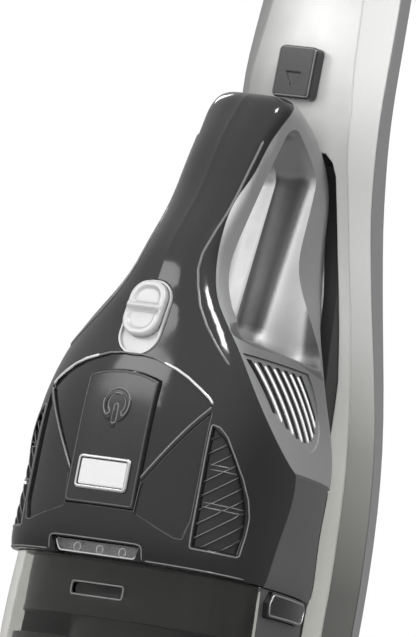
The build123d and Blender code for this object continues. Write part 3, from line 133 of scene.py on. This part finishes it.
def paint_light_and_shade(material, stops, facing=None, edges=(0.2, 0.6), axis="Z"):
    """Painted light and shade, lighter or darker along an axis in mm, all over or only where it faces one
    way.
    """
    tree = material.node_tree
    shader = tree.nodes["Principled BSDF"]
    link = tree.links.new
    place = grow(tree, "ShaderNodeTexCoord")
    split = grow(tree, "ShaderNodeSeparateXYZ")
    link(place.outputs["Object"], split.inputs["Vector"])
    low = stops[0][0]
    high = stops[-1][0]
    rise = grow(tree, "ShaderNodeMapRange")
    start = {"X": 0.0, "Y": HAND_Y, "Z": SEAM_Z}[axis]
    rise.inputs["From Min"].default_value = (low + start) * MM
    rise.inputs["From Max"].default_value = (high + start) * MM
    link(split.outputs[axis], rise.inputs["Value"])
    ramp = grow(tree, "ShaderNodeValToRGB")
    for index, (height, level) in enumerate(stops):
        share = (height - low) / (high - low)
        if index < 2:
            stop = ramp.color_ramp.elements[index]
            stop.position = share
        else:
            stop = ramp.color_ramp.elements.new(share)
        stop.color = (level if isinstance(level, tuple) else (level, level, level)) + (1.0,)
    link(rise.outputs["Result"], ramp.inputs["Fac"])
    blend = grow(tree, "ShaderNodeMix", data_type="RGBA", blend_type="MULTIPLY")
    blend.inputs[0].default_value = 1.0
    if facing:
        toward = grow(tree, "ShaderNodeVectorMath", operation="DOT_PRODUCT")
        toward.inputs[1].default_value = facing
        link(place.outputs["Normal"], toward.inputs[0])
        mask = grow(tree, "ShaderNodeMapRange", interpolation_type="SMOOTHSTEP")
        mask.inputs["From Min"].default_value = edges[0]
        mask.inputs["From Max"].default_value = edges[1]
        link(toward.outputs["Value"], mask.inputs["Value"])
        link(mask.outputs["Result"], blend.inputs[0])
    paint = shader.inputs["Base Color"].links[0].from_socket
    link(paint, blend.inputs[6])
    link(ramp.outputs["Color"], blend.inputs[7])
    link(blend.outputs[2], shader.inputs["Base Color"])


BLACK = finish_material("gloss_black", (0.009, 0.009, 0.0093), rough=0.1, tint=0.15, grain=900.0,
                        rough_play=0.025, bump=0.004, bevel=0.0008, coat=0.2)
PAD_BLACK = finish_material("pad_black", (0.016, 0.016, 0.016), rough=0.2, tint=0.2, grain=2200.0, bump=0.01,
                            bevel=0.0006)
GRILLE = finish_material("grille_black", (0.012, 0.012, 0.012), rough=0.34, tint=0.2, grain=2200.0, bump=0.01,
                         bevel=0.0003)
SILVER = finish_material("silver_paint", (0.44, 0.44, 0.443), rough=0.48, metallic=0.9, tint=0.06,
                         grain=3000.0, bump=0.004)
# Painted shade and painted highlights on the silver: darker below the fold, brightest right above it, and the
# two flanks of the finger loop painted light against its shaded middle.
paint_light_and_shade(SILVER, [(-20.0, 0.42), (48.6, 0.5), (50.0, 1.2), (64.0, 1.1), (80.0, 0.8), (95.0, 0.62), (110.0, 0.8),
              (126.0, 1.0), (230.0, 1.0)])
# Painted highlight: a bright band where the loop's inner walls face right.
paint_light_and_shade(SILVER, [(95.0, 1.0), (106.0, 2.2), (180.0, 2.0), (196.0, 1.0)], (0.86, -0.5, 0.05), (0.86, 0.99))
# Painted shade where the loop's walls face the front.
paint_light_and_shade(SILVER, [(95.0, 1.0), (104.0, 0.5), (200.0, 0.42)], (0.3, -0.95, -0.05), (0.86, 0.98))
# Painted highlight: the left half lighter where it faces front left.
paint_light_and_shade(SILVER, [(-62.0, 1.7), (-0.4, 1.7), (0.4, 1.0), (62.0, 1.0)], (-0.4, -0.9, 0.0), (0.6, 0.9), axis="X")
SPINE = finish_material("spine_silver", (0.86, 0.86, 0.85), rough=0.38, metallic=0.25, tint=0.05,
                        grain=3000.0, bump=0.01, bevel=0.0008)
# Painted light and shade on the spine: whiter at the bottom than at the top, grey on its left half and darker
# down its right side.
paint_light_and_shade(SPINE, [(40.0, (1.0, 1.0, 0.95)), (120.0, (0.88, 0.88, 0.87)), (180.0, 0.62), (230.0, 0.6)])
# Painted shade towards its left edge.
paint_light_and_shade(SPINE, [(-37.0, 0.42), (-24.0, 0.5), (-6.0, 0.95), (6.0, 1.0), (22.0, 0.9), (37.0, 0.95)], axis="X")
# Painted shade where it faces right, deepest low down.
paint_light_and_shade(SPINE, [(-60.0, 0.09), (10.0, 0.11), (70.0, 0.28), (150.0, 0.76), (230.0, 1.0)], (1.0, 0.0, 0.0),
     (0.2, 0.5))
REAR = finish_material("rear_grey", (0.29, 0.29, 0.295), rough=0.42, metallic=0.6, tint=0.1, grain=3200.0,
                       bump=0.04, bevel=0.0008)
BRIGHT = finish_material("bright_silver", (0.43, 0.43, 0.43), rough=0.4, metallic=0.3, tint=0.04,
                         grain=3000.0, bump=0.01)
CHROME = finish_material("chrome", (0.8, 0.8, 0.81), rough=0.1, metallic=1.0, tint=0.02, grain=2000.0,
                         bump=0.005, bevel=0.0004)
WHITE = finish_material("pale_button", (0.50, 0.50, 0.50), rough=0.3, metallic=0.1, tint=0.03, grain=2400.0,
                        bump=0.012, bevel=0.0005)
GREY = finish_material("dark_grey", (0.014, 0.014, 0.014), rough=0.16, tint=0.15, grain=1800.0, bump=0.005,
                       bevel=0.0008, coat=0.2)
MATT = finish_material("matt_black", (0.024, 0.024, 0.024), rough=0.5, tint=0.2, grain=2600.0, bump=0.03,
                       bevel=0.0006)
BASKET = finish_material("basket_black", (0.02, 0.02, 0.02), rough=0.4, tint=0.35, grain=260.0, bump=0.0,
                         streak=(1.0, 1.0, 0.02))
RUBBER = finish_material("rubber", (0.022, 0.022, 0.022), rough=0.7, tint=0.25, grain=1500.0, bump=0.2,
                         bevel=0.0006)
SMOKE = finish_material("smoky_clear", (0.60, 0.60, 0.575), rough=0.03, tint=0.03, grain=200.0,
                        rough_play=0.01, bump=0.0, transmission=1.0, ior=1.3, specular=0.4)
CLEAR = finish_material("clear_lens", (0.8, 0.8, 0.8), rough=0.04, tint=0.02, grain=200.0, rough_play=0.01,
                        bump=0.0, transmission=0.95)
STEEL = finish_material("steel", (0.55, 0.55, 0.56), rough=0.3, metallic=1.0, tint=0.05, grain=2500.0,
                        bump=0.02, bevel=0.0003)
PAPER = finish_material("filter_paper", (0.72, 0.70, 0.62), rough=0.85, tint=0.08, grain=1400.0, bump=0.2)
BOARD = finish_material("circuit_board", (0.02, 0.10, 0.045), rough=0.45, tint=0.2, grain=900.0, bump=0.03)
LAMP = finish_material("lamp_white", (0.06, 0.06, 0.06), rough=0.35, tint=0.3, grain=500.0, bump=0.0)
# Light grey for beads along edges of black parts: painted highlights.
EDGE = finish_material("painted_edge_highlight", (0.11, 0.11, 0.11), rough=0.16, tint=0.1, grain=1200.0, bump=0.005,
                       coat=0.4)
# Light grey for the dome crests, as painted highlights; the floor head's lines use it too.
GLINT = finish_material("bright_edge", (0.62, 0.62, 0.62), rough=0.2, metallic=0.5, tint=0.05, grain=1200.0,
                        bump=0.005, coat=0.4)
# Silver lighter than the shells' own, for the slats between the exhaust slots: painted highlights.
RIDGE = finish_material("ridge_silver", (0.80, 0.80, 0.79), rough=0.3, metallic=0.3, tint=0.05, grain=3000.0,
                        bump=0.0)
# Dark grey, lighter than the black it lies on, for fine outline beads: painted highlights.
LINE = finish_material("painted_fine_highlight", (0.05, 0.05, 0.05), rough=0.2, tint=0.1, grain=1200.0, bump=0.005,
                       coat=0.3)

LOOKS = {
    BLACK: ["hand_cover", "bin_clips", "head_cover", "swivel_ring"],
    PAD_BLACK: ["power_pad", "brush_bristles"],
    GRILLE: ["side_grille_right", "side_grille_left"],
    SILVER: ["hand_shell_right", "hand_shell_left", "bin_back"],
    SPINE: ["spine_front"],
    REAR: ["spine_rear", "handle_tube", "head_base", "dock_foot"],
    BRIGHT: ["slide_switch", "switch_track"],
    CHROME: ["button_frame"],
    WHITE: ["bin_button"],
    GREY: ["release_button", "release_latch"],
    MATT: ["dock_cradle", "nozzle", "fan_shroud", "inlet_flap", "neck_yoke", "charge_socket",
           "suction_duct", "swivel_socket", "brush_roll", "head_bumper", "wheel_left", "wheel_right"],
    RUBBER: ["handle_grip", "port_seal", "tyre_left", "tyre_right", "motor_mounts", "drive_belt",
             "glide_pads"],
    BASKET: ["filter_cup"],
    SMOKE: ["dust_bin"],
    CLEAR: ["led_lens"],
    STEEL: ["spine_screws", "head_screws", "dock_contacts", "neck_pins", "wheel_axles", "brush_bearings",
            "motor_can", "brush_motor", "motor_pulley", "battery_cells", "fan_rotor"],
    PAPER: ["filter_pleats"],
    BOARD: ["control_board"],
    LAMP: ["led_board"],
}
for material, names in LOOKS.items():
    for name in names:
        shape = nodes[name].data
        shape.materials.clear()
        shape.materials.append(material)

# Fine forms on the skin of the hand unit.
def skin_of(*names):
    """Surface of some CAD nodes, for finding points on it."""
    points = []
    faces = []
    for name in names:
        start = len(points)
        turn = nodes[name].matrix_world
        points += [turn @ vertex.co for vertex in nodes[name].data.vertices]
        faces += [[start + corner for corner in face.vertices] for face in nodes[name].data.polygons]
    return BVHTree.FromPolygons(points, faces)


bpy.context.view_layer.update()
COVER = skin_of("hand_cover")
PAD = skin_of("power_pad")
CUP = skin_of("dust_bin")
LENS = skin_of("led_lens")
GRILLES = skin_of("side_grille_right", "side_grille_left")
SHELLS = skin_of("hand_shell_right", "hand_shell_left")
STICK = skin_of("spine_front")


def touch(skin, x, z):
    """Where a straight line from the front at x and z, in mm, meets the skin."""
    return skin.ray_cast(spot(x, -150.0, z), Vector((0.0, 1.0, 0.0)))[0]


def touch_side(skin, y, z):
    """Where a straight line from the right at y and z, in mm, meets the skin."""
    return skin.ray_cast(spot(150.0, y, z), Vector((-1.0, 0.0, 0.0)))[0]


def touch_left(skin, y, z):
    """The same from the left."""
    return skin.ray_cast(spot(-150.0, y, z), Vector((1.0, 0.0, 0.0)))[0]


def soften(points, closed, rounds=3):
    """Corner cutting, which turns a list of corners into a smooth line."""
    for turn in range(rounds):
        pairs = list(zip(points, points[1:] + (points[:1] if closed else [])))
        cut = []
        for one, two in pairs:
            cut.append(tuple(a * 0.75 + b * 0.25 for a, b in zip(one, two)))
            cut.append(tuple(a * 0.25 + b * 0.75 for a, b in zip(one, two)))
        points = cut if closed else [points[0]] + cut + [points[-1]]
    return points


def spread(points, closed, step):
    """The same line with points at most a step apart."""
    dense = []
    for one, two in zip(points, points[1:] + (points[:1] if closed else [])):
        length = math.dist(one, two)
        parts = max(1, math.ceil(length / step))
        for part in range(parts):
            share = part / parts
            dense.append(tuple(a + (b - a) * share for a, b in zip(one, two)))
    return dense if closed else dense + [points[-1]]


def add_piece(name, points, faces, material, body):
    """Smooth mesh that rides a body."""
    shape = bpy.data.meshes.new(name)
    shape.from_pydata(points, [], faces)
    shape.update()
    shape.polygons.foreach_set("use_smooth", [True] * len(shape.polygons))
    shape.materials.append(material)
    piece = bpy.data.objects.new(name, shape)
    bpy.context.scene.collection.objects.link(piece)
    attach(piece, body)
    return piece


def tube(path, radius, closed, sides=8):
    """Round bead along a line of points, tapered at its open ends."""
    count = len(path)
    points = []
    faces = []
    across = None
    for index, place in enumerate(path):
        if closed:
            ahead = (path[(index + 1) % count] - path[index - 1]).normalized()
        else:
            ahead = (path[min(index + 1, count - 1)] - path[max(index - 1, 0)]).normalized()
        if across is None:
            across = ahead.orthogonal().normalized()
        across = (across - ahead * across.dot(ahead)).normalized()
        over = ahead.cross(across)
        thick = radius
        if not closed:
            thick *= min(1.0, 0.25 + 0.25 * min(index, count - 1 - index))
        for side in range(sides):
            angle = 2.0 * math.pi * side / sides
            points.append(place + across * (math.cos(angle) * thick) + over * (math.sin(angle) * thick))
    rings = count if closed else count - 1
    for ring in range(rings):
        for side in range(sides):
            low = ring * sides
            high = ((ring + 1) % count) * sides
            near = (side + 1) % sides
            faces.append((low + side, low + near, high + near, high + side))
    if not closed:
        faces.append(tuple(range(sides - 1, -1, -1)))
        faces.append(tuple(range((count - 1) * sides, count * sides)))
    return points, faces


def tubes(name, paths, radius, material, body, closed=True):
    """One piece made of a round bead along each path."""
    points = []
    faces = []
    for path in paths:
        more, rows = tube(path, radius * MM, closed)
        faces += [[len(points) + corner for corner in row] for row in rows]
        points += more
    return add_piece(name, points, faces, material, body)


ROUGH_STEP = 3.0         # spacing of a bead's points before its corners are cut, mm
FEWEST_POINTS = 4        # a line that meets its skin in fewer points is left out


def bead(name, skin, lines, radius, material, body, closed=False, rounds=2, step=1.2, reach=touch):
    """Raised lines on a skin, each given by front view points in mm."""
    paths = []
    for line in lines:
        flat = spread(soften(spread(line, closed, ROUGH_STEP), closed, rounds), closed, step)
        path = [found for found in (reach(skin, x, z) for x, z in flat) if found is not None]
        if len(path) >= FEWEST_POINTS:
            paths.append(path)
    return tubes(name, paths, radius, material, body, closed)


def both(line):
    """A line and its mirror image."""
    return [line, [(-x, z) for x, z in line]]


# Lips and crests of the dome, the wings, the pad and the side grilles, as beads lighter than the black:
# painted highlights.
DOME_HALF = [(18.3, 34.2), (39.0, 63.8), (41.6, 67.5), (42.3, 69.6), (40.8, 71.6), (33.0, 77.1), (24.0, 81.6),
             (12.0, 85.4)]
DOME = DOME_HALF + [(0.0, 86.8)] + [(-x, z) for x, z in reversed(DOME_HALF)]
bead("dome_lip", COVER, [DOME], 0.42, EDGE, "hand_unit")
# Thicker light beads on the dome's shoulders: painted highlights.
CREST = [(17.0, 84.0), (24.0, 81.8), (30.0, 79.0), (36.0, 75.2), (40.6, 71.8), (42.2, 69.8)]
bead("dome_crests", COVER, both(CREST), 0.62, GLINT, "hand_unit")
WING = [(18.3, 19.6), (24.0, 17.4), (31.0, 14.6), (38.0, 11.8), (41.5, 11.8), (43.3, 20.0), (43.4, 40.0),
        (43.0, 66.6), (19.2, 32.8)]
bead("wing_lips", COVER, both(WING), 0.24, LINE, "hand_unit", closed=True)
PAD_RIM = [(-17.3, 21.7), (17.3, 21.7), (17.3, 74.9), (9.0, 77.1), (0.0, 77.8), (-9.0, 77.1), (-17.3, 74.9)]
bead("pad_rim", PAD, [PAD_RIM], 0.34, LINE, "pad", closed=True)
GRILLE_RIM = [(43.9, 61.4), (47.0, 60.6), (50.2, 57.0), (53.6, 49.5), (56.6, 41.4), (58.4, 33.5),
              (59.2, 26.0), (59.5, 17.0), (59.6, 8.9), (52.0, 8.9), (44.6, 8.9), (44.3, 35.0)]
bead("grille_rims", COVER, both(GRILLE_RIM), 0.36, EDGE, "hand_unit", closed=True)
# The ribs of a grille rise along the corner of the cover, so each crest is found point by point.
RIB_FIRST = 4.5          # height of the rib with index 0 where it starts, mm
RIB_PITCH = 6.0
RIB_SLOPE = 0.75
RIB_START = 28.0         # distance of that start along the corner, mm
RIB_LOW = 10.2
RIB_HIGH = 60.0
ribs = []
for index in range(-4, 11):
    rib = []
    for step in range(2, 40):
        x = 42.0 + 0.45 * step
        z = 30.0
        for turn in range(8):
            found = touch(GRILLES, x, z)
            if found is None:
                break
            along = (x + found.y / MM - HAND_Y) / math.sqrt(2.0) - RIB_START
            z = RIB_FIRST + RIB_PITCH * index + RIB_SLOPE * along
        if RIB_LOW < z < RIB_HIGH and touch(GRILLES, x, z) is not None:
            rib.append((x, z))
    if len(rib) > 5:
        ribs += both(rib)
bead("grille_rib_crests", GRILLES, ribs, 0.2, EDGE, "hand_unit", rounds=0)
STEPS = [[(44.8 + 0.8 * step, height) for step in range(18)] for height in (26.9, 44.9, 42.9, 28.9)]
bead("grille_steps", GRILLES, [line for step in STEPS for line in both(step)], 0.3, EDGE, "hand_unit",
     rounds=0)

# Edges of the cover's limbs, its hem, the lamp window and the slot of the bin's catch, as beads lighter than
# the black: painted highlights along these edges.
LIMB = [(17.2, 186.0), (16.9, 178.0), (15.9, 160.0), (15.1, 145.0), (15.0, 133.0), (16.0, 126.0),
        (18.6, 119.0), (22.8, 110.5), (28.6, 102.4), (35.5, 94.5), (42.2, 87.4)]
bead("limb_edges", COVER, both(LIMB), 0.6, EDGE, "hand_unit")
COVER_HEM = [(x, 0.75) for x in (26.0, 34.0, 44.0, 52.0, 58.0, 61.0)]
bead("cover_hem", COVER, both(COVER_HEM), 0.34, EDGE, "hand_unit")
BROW = [(-24.6, 0.8), (-24.3, 6.2), (-22.0, 7.0), (22.0, 7.0), (24.3, 6.2), (24.6, 0.8)]
bead("lamp_brow", COVER, [BROW], 0.3, EDGE, "hand_unit")
SILL = [(-22.4, 5.2), (-19.9, 0.9), (19.9, 0.9), (22.4, 5.2)]
bead("lamp_sill", LENS, [SILL], 0.32, BRIGHT, "hand_unit")
SLOT = [(-13.6, -16.3), (13.6, -16.3), (13.6, -10.7), (-13.6, -10.7)]
bead("bin_slot_lip", CUP, [SLOT], 0.4, EDGE, "bin", closed=True, rounds=2)


# Power sign on the pad: its raised outline, drawn in grey beads that paint highlights on it.
def ring_line(radius, start, end, middle):
    """Arc of points in the front view, from one angle in degrees to another."""
    steps = 24
    turns = [math.radians(start + (end - start) * step / steps) for step in range(steps + 1)]
    return [(radius * math.cos(turn), middle + radius * math.sin(turn)) for turn in turns]


MARK_Z = 64.0
MARK_OUTER = 6.7
MARK_INNER = 4.5
MARK_ENDS = (-52.0, 232.0)
SHOE = (ring_line(MARK_OUTER, MARK_ENDS[0], MARK_ENDS[1], MARK_Z)
        + ring_line(MARK_INNER, MARK_ENDS[1], MARK_ENDS[0], MARK_Z))
BAR = [(1.1, 63.4), (0.0, 64.3), (-1.1, 63.4), (-1.1, 56.2), (0.0, 55.3), (1.1, 56.2)]
bead("power_mark_ring", PAD, [SHOE], 0.36, EDGE, "pad", closed=True, rounds=1, step=0.6)
bead("power_mark_bar", PAD, [BAR], 0.36, EDGE, "pad", closed=True, rounds=1, step=0.6)

# Ridges of the spine, hems of the side shells and the slats between their exhaust slots. The spine's ridges
# carry its painted light and shade; the slats are painted lighter as highlights.
RIDGES = [(25.0, -120.0), (25.0, -30.0), (25.0, 57.0), (24.5, 86.0), (24.0, 114.0), (24.6, 150.0),
          (26.4, 181.0), (27.2, 195.0), (27.8, 209.0), (27.0, 220.0), (23.4, 256.0), (21.5, 290.0),
          (20.6, 329.0)]
bead("spine_ridges", STICK, both(RIDGES), 0.3, SPINE, "stick", rounds=3, step=3.0)
HEM = [(85.0, 2.0), (85.5, 20.0), (85.5, 36.0), (84.5, 48.0)]
bead("shell_hem_right", SHELLS, [HEM], 0.35, GREY, "hand_unit", reach=touch_side)
bead("shell_hem_left", SHELLS, [HEM], 0.35, GREY, "hand_unit", reach=touch_left)
SLAT_TOP = 91.0
SLAT_PITCH = 6.35
SLATS = []
for index in range(6):
    half = index + 0.5
    end = (26.0 + 9.3 * half - 0.58 * half * half, 72.0 - 6.0 * half + 1.08 * half * half)
    SLATS.append([(15.0 + SLAT_PITCH * half, SLAT_TOP), end])
bead("slats_right", SHELLS, SLATS, 0.55, RIDGE, "hand_unit", reach=touch_side)
bead("slats_left", SHELLS, SLATS, 0.55, RIDGE, "hand_unit", reach=touch_left)

# Rims of the release button and of the bin's side clips, as light beads: painted highlights on their edges.
RELEASE = skin_of("release_button")
RELEASE_RIM = [(-9.2, 211.2), (9.2, 211.2), (9.2, 231.8), (-9.2, 231.8)]
bead("release_rim", RELEASE, [RELEASE_RIM], 0.4, EDGE, "release", closed=True, rounds=2)
CLIPS = skin_of("bin_clips")
CLIP_RIM = [(37.9, -2.0), (69.0, -2.0), (71.8, -4.2), (70.1, -8.9), (66.6, -10.3), (35.9, -11.0),
            (35.6, -6.2)]
bead("clip_rim_right", CLIPS, [CLIP_RIM], 0.42, STEEL, "bin", closed=True, reach=touch_side)
bead("clip_rim_left", CLIPS, [CLIP_RIM], 0.42, STEEL, "bin", closed=True, reach=touch_left)


# Ribs of the grip, collars of the handle tube, lines of the floor head and rings of its wheels.
def hoop(skin, z, steps=48):
    """Ring of points round an upright piece at a height in mm."""
    near = touch(skin, 0.0, z)
    far = skin.ray_cast(spot(0.0, 300.0, z), Vector((0.0, -1.0, 0.0)))[0]
    middle = (near + far) * 0.5
    ring = []
    for step in range(steps):
        angle = 2.0 * math.pi * step / steps
        way = Vector((math.cos(angle), math.sin(angle), 0.0))
        ring.append(skin.ray_cast(middle + way * 0.15, -way)[0])
    return ring


GRIP_RIB_FIRST = 526.0
GRIP_RIB_PITCH = 5.0
GRIP = skin_of("handle_grip")
grip_rings = [hoop(GRIP, GRIP_RIB_FIRST + GRIP_RIB_PITCH * index) for index in range(13)]
tubes("grip_ribs", grip_rings, 0.7, RUBBER, "stick")
TUBE = skin_of("handle_tube")
collars = [hoop(TUBE, height) for height in (332.5, 335.5, 516.5)]
tubes("tube_collars", collars, 0.5, CHROME, "stick")
HEAD = skin_of("head_cover")


def touch_top(skin, x, y):
    """Where a straight line from above at x and y, in mm of the frame, meets the skin."""
    return skin.ray_cast(Vector((x * MM, y * MM, 0.4)), Vector((0.0, 0.0, -1.0)))[0]


def bow(front, depth, half):
    """Bowed line across the floor head, seen from above."""
    return [(half * step / 20.0, front + depth * (step / 20.0) ** 2) for step in range(-20, 21)]


bead("head_lines", HEAD, [bow(-60.0, 26.0, 118.0), bow(-54.0, 26.0, 118.0)], 0.5, GLINT, "floor_head",
     rounds=0, step=3.0, reach=touch_top)
bead("head_hem", HEAD, [bow(28.0, -18.0, 122.0)], 0.5, EDGE, "floor_head", rounds=0, step=3.0,
     reach=touch_top)
WHEEL_X = 56.0           # middle of each wheel from the middle of the head, mm
WHEEL_Y = 64.5
WHEEL_Z = 24.0
WHEEL_FACE = 6.6         # from the middle of a wheel to its flat sides
RING_STEPS = 40


def wheel_ring(x, radius):
    """Circle of points on a flat side of a wheel."""
    ring = []
    for step in range(RING_STEPS):
        angle = 2.0 * math.pi * step / RING_STEPS
        ring.append(Vector((x, WHEEL_Y + radius * math.cos(angle), WHEEL_Z + radius * math.sin(angle))) * MM)
    return ring


for name, side, body in (("wheel_rings_left", -1.0, "wheel_l"), ("wheel_rings_right", 1.0, "wheel_r")):
    rings = [wheel_ring(side * WHEEL_X + across, radius) for across in (-WHEEL_FACE, WHEEL_FACE)
             for radius in (17.0, 9.0)]
    tubes(name, rings, 0.5, STEEL, body)


# Slide switch with two dished halves and a ridge between them.
SWITCH_W = 18.6
SWITCH_L = 24.5
SWITCH_CORNER = 8.0
switch_up = Vector((0.0, 0.209, 0.978)).normalized()
switch_out = Vector((0.0, -0.978, 0.209)).normalized()
switch_base = spot(0.0, -2.07, 102.2) + switch_up * (3.3 * MM)
SWITCH_TOP = 3.75        # height of its rim above the track, mm
SWITCH_ROUND = 1.1       # rounding of its edge
RIM_WIDTH = 2.3
DISH_CORNER = 5.8
DISH_DEPTH = 1.3
DISH_GAP = 1.5           # half of the land between the two dishes
RIDGE_Y = 0.5
RIDGE_HALF = 1.25
RIDGE_RISE = 1.1
GROOVE_Y = -1.7
GROOVE_HALF = 0.9
GROOVE_DEPTH = 0.9


def inside(x, y, wide, long, corner):
    """Depth of a point inside a rounded rectangle."""
    dx = abs(x) - wide / 2 + corner
    dy = abs(y) - long / 2 + corner
    return corner - math.hypot(max(dx, 0.0), max(dy, 0.0)) - min(max(dx, dy), 0.0)


def ease(value):
    """Smooth step from 0 to 1."""
    value = min(1.0, max(0.0, value))
    return value * value * (3.0 - 2.0 * value)


def switch_height(x, y):
    """Height of the slider's top over its base, both in mm."""
    depth = inside(x, y, SWITCH_W, SWITCH_L, SWITCH_CORNER)
    edge = 1.0 - min(depth, SWITCH_ROUND) / SWITCH_ROUND
    height = SWITCH_TOP - SWITCH_ROUND * (1.0 - math.sqrt(max(0.0, 1.0 - edge ** 2)))
    dish = inside(x, y, SWITCH_W - 2.0 * RIM_WIDTH, SWITCH_L - 2.0 * RIM_WIDTH, DISH_CORNER)
    height -= DISH_DEPTH * ease(min(dish, abs(y) - DISH_GAP) / DISH_DEPTH)
    ridge = 1.0 - ((y - RIDGE_Y) / RIDGE_HALF) ** 2
    if ridge > 0.0:
        height += RIDGE_RISE * math.sqrt(ridge) * ease((depth - 0.1) / 1.2)
    groove = 1.0 - ((y - GROOVE_Y) / GROOVE_HALF) ** 2
    if groove > 0.0:
        height -= GROOVE_DEPTH * groove * ease((depth - 0.6) / 1.4)
    return height


outline = []
for corner in range(4):
    middle = (SWITCH_W / 2 - SWITCH_CORNER, SWITCH_L / 2 - SWITCH_CORNER)
    sign = ((1, 1), (-1, 1), (-1, -1), (1, -1))[corner]
    for step in range(24):
        angle = math.radians(90.0 * corner + 90.0 * step / 23)
        outline.append((sign[0] * middle[0] + SWITCH_CORNER * math.cos(angle),
                        sign[1] * middle[1] + SWITCH_CORNER * math.sin(angle)))
outline = spread(outline, True, 0.6)
around = len(outline)
shares = [1.0, 0.995, 0.985, 0.97, 0.95, 0.93] + [0.91 - 0.03 * step for step in range(30)]
switch_points = [switch_base + Vector((x * MM, 0.0, 0.0)) + switch_up * (y * MM) - switch_out * (0.2 * MM)
                 for x, y in outline]
for share in shares:
    for x, y in outline:
        lift = switch_height(x * share, y * share)
        switch_points.append(switch_base + Vector((x * share * MM, 0.0, 0.0)) + switch_up * (y * share * MM)
                             + switch_out * (lift * MM))
switch_faces = [tuple(range(around - 1, -1, -1))]
for ring in range(len(shares)):
    for side in range(around):
        near = (side + 1) % around
        switch_faces.append((ring * around + side, ring * around + near, (ring + 1) * around + near,
                             (ring + 1) * around + side))
switch_faces.append(tuple(range(len(shares) * around, (len(shares) + 1) * around)))
slider = add_piece("slide_switch_form", switch_points, switch_faces, BRIGHT, "switch")
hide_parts("slide_switch")


# Lamp cups behind the window.
LAMP_PITCH = 12.0
CUP_RADIUS = 1.75
CUP_STEPS = 28


def cup_circle(x):
    """Rim of a reflector cup behind the lamp window."""
    circle = []
    for step in range(CUP_STEPS):
        angle = 2.0 * math.pi * step / CUP_STEPS
        circle.append(spot(x + CUP_RADIUS * math.cos(angle), -1.62, 3.2 + CUP_RADIUS * math.sin(angle)))
    return circle


cups = [cup_circle(LAMP_PITCH * place) for place in (-1, 0, 1)]
tubes("lamp_cups", cups, 0.26, CHROME, "hand_unit")

# Floor, world and lamps.
REACH = 6.0
floor_corners = [(-REACH, -REACH, 0.0), (REACH, -REACH, 0.0), (REACH, REACH, 0.0), (-REACH, REACH, 0.0)]
floor_mesh = bpy.data.meshes.new("floor")
floor_mesh.from_pydata(floor_corners, [], [(0, 1, 2, 3)])
floor = bpy.data.objects.new("floor", floor_mesh)
floor.location.z = -0.0005
bpy.context.scene.collection.objects.link(floor)
FLOOR = finish_material("pale_floor", (0.78, 0.78, 0.78), rough=0.7, tint=0.02, grain=300.0, bump=0.02)
floor_mesh.materials.append(FLOOR)
floor.visible_glossy = False

world = bpy.data.worlds.new("studio")
world.use_nodes = True
bpy.context.scene.world = world
sky = world.node_tree
sky.nodes.clear()
out = grow(sky, "ShaderNodeOutputWorld")
path = grow(sky, "ShaderNodeLightPath")
seen = grow(sky, "ShaderNodeMath", operation="MAXIMUM")
sky.links.new(path.outputs["Is Camera Ray"], seen.inputs[0])
sky.links.new(path.outputs["Is Transmission Ray"], seen.inputs[1])
plain = grow(sky, "ShaderNodeBackground", Color=(1.0, 1.0, 1.0, 1.0), Strength=1.0)
way = grow(sky, "ShaderNodeTexCoord")
tilt = grow(sky, "ShaderNodeVectorMath", operation="DOT_PRODUCT")
tilt.inputs[1].default_value = (-0.15, -0.35, 0.92)
sky.links.new(way.outputs["Generated"], tilt.inputs[0])
shade = grow(sky, "ShaderNodeMapRange", interpolation_type="SMOOTHSTEP")
shade.inputs["From Min"].default_value = -0.15
shade.inputs["From Max"].default_value = 0.8
shade.inputs["To Min"].default_value = 0.3
shade.inputs["To Max"].default_value = 1.0
sky.links.new(tilt.outputs["Value"], shade.inputs["Value"])
studio = grow(sky, "ShaderNodeBackground", Color=(1.0, 1.0, 1.0, 1.0))
sky.links.new(shade.outputs["Result"], studio.inputs["Strength"])
pick = grow(sky, "ShaderNodeMixShader")
sky.links.new(seen.outputs["Value"], pick.inputs["Fac"])
sky.links.new(studio.outputs["Background"], pick.inputs[1])
sky.links.new(plain.outputs["Background"], pick.inputs[2])
sky.links.new(pick.outputs["Shader"], out.inputs["Surface"])


def lamp(name, place, target, size, power, tall=None, mirrored=True):
    """Soft box that faces the target. One that isn't mirrored doesn't show in glossy surfaces."""
    data = bpy.data.lights.new(name, "AREA")
    data.shape = "RECTANGLE"
    data.size = size
    data.size_y = tall or size
    data.energy = power
    holder = bpy.data.objects.new(name, data)
    holder.location = place
    holder.rotation_euler = (Vector(target) - Vector(place)).to_track_quat("-Z", "Y").to_euler()
    holder.visible_glossy = mirrored
    holder.visible_transmission = False
    bpy.context.scene.collection.objects.link(holder)


AIM = (0.0, 0.0, 0.55)
lamp("key_right", (1.6, -1.7, 0.95), AIM, 0.9, 26.0, 1.4, mirrored=False)
lamp("fill_left", (-1.0, -1.6, 1.2), AIM, 0.75, 6.0, 0.6)
lamp("rim_left", (-1.5, 0.5, 1.7), AIM, 0.3, 5.0, 0.6)
lamp("front", (0.5, -2.2, 0.9), AIM, 1.0, 12.0, 1.4, mirrored=False)
lamp("top", (0.9, -0.7, 2.3), AIM, 0.36, 12.0)
lamp("side", (1.9, -0.85, 0.7), AIM, 0.4, 9.0, 1.0, mirrored=False)
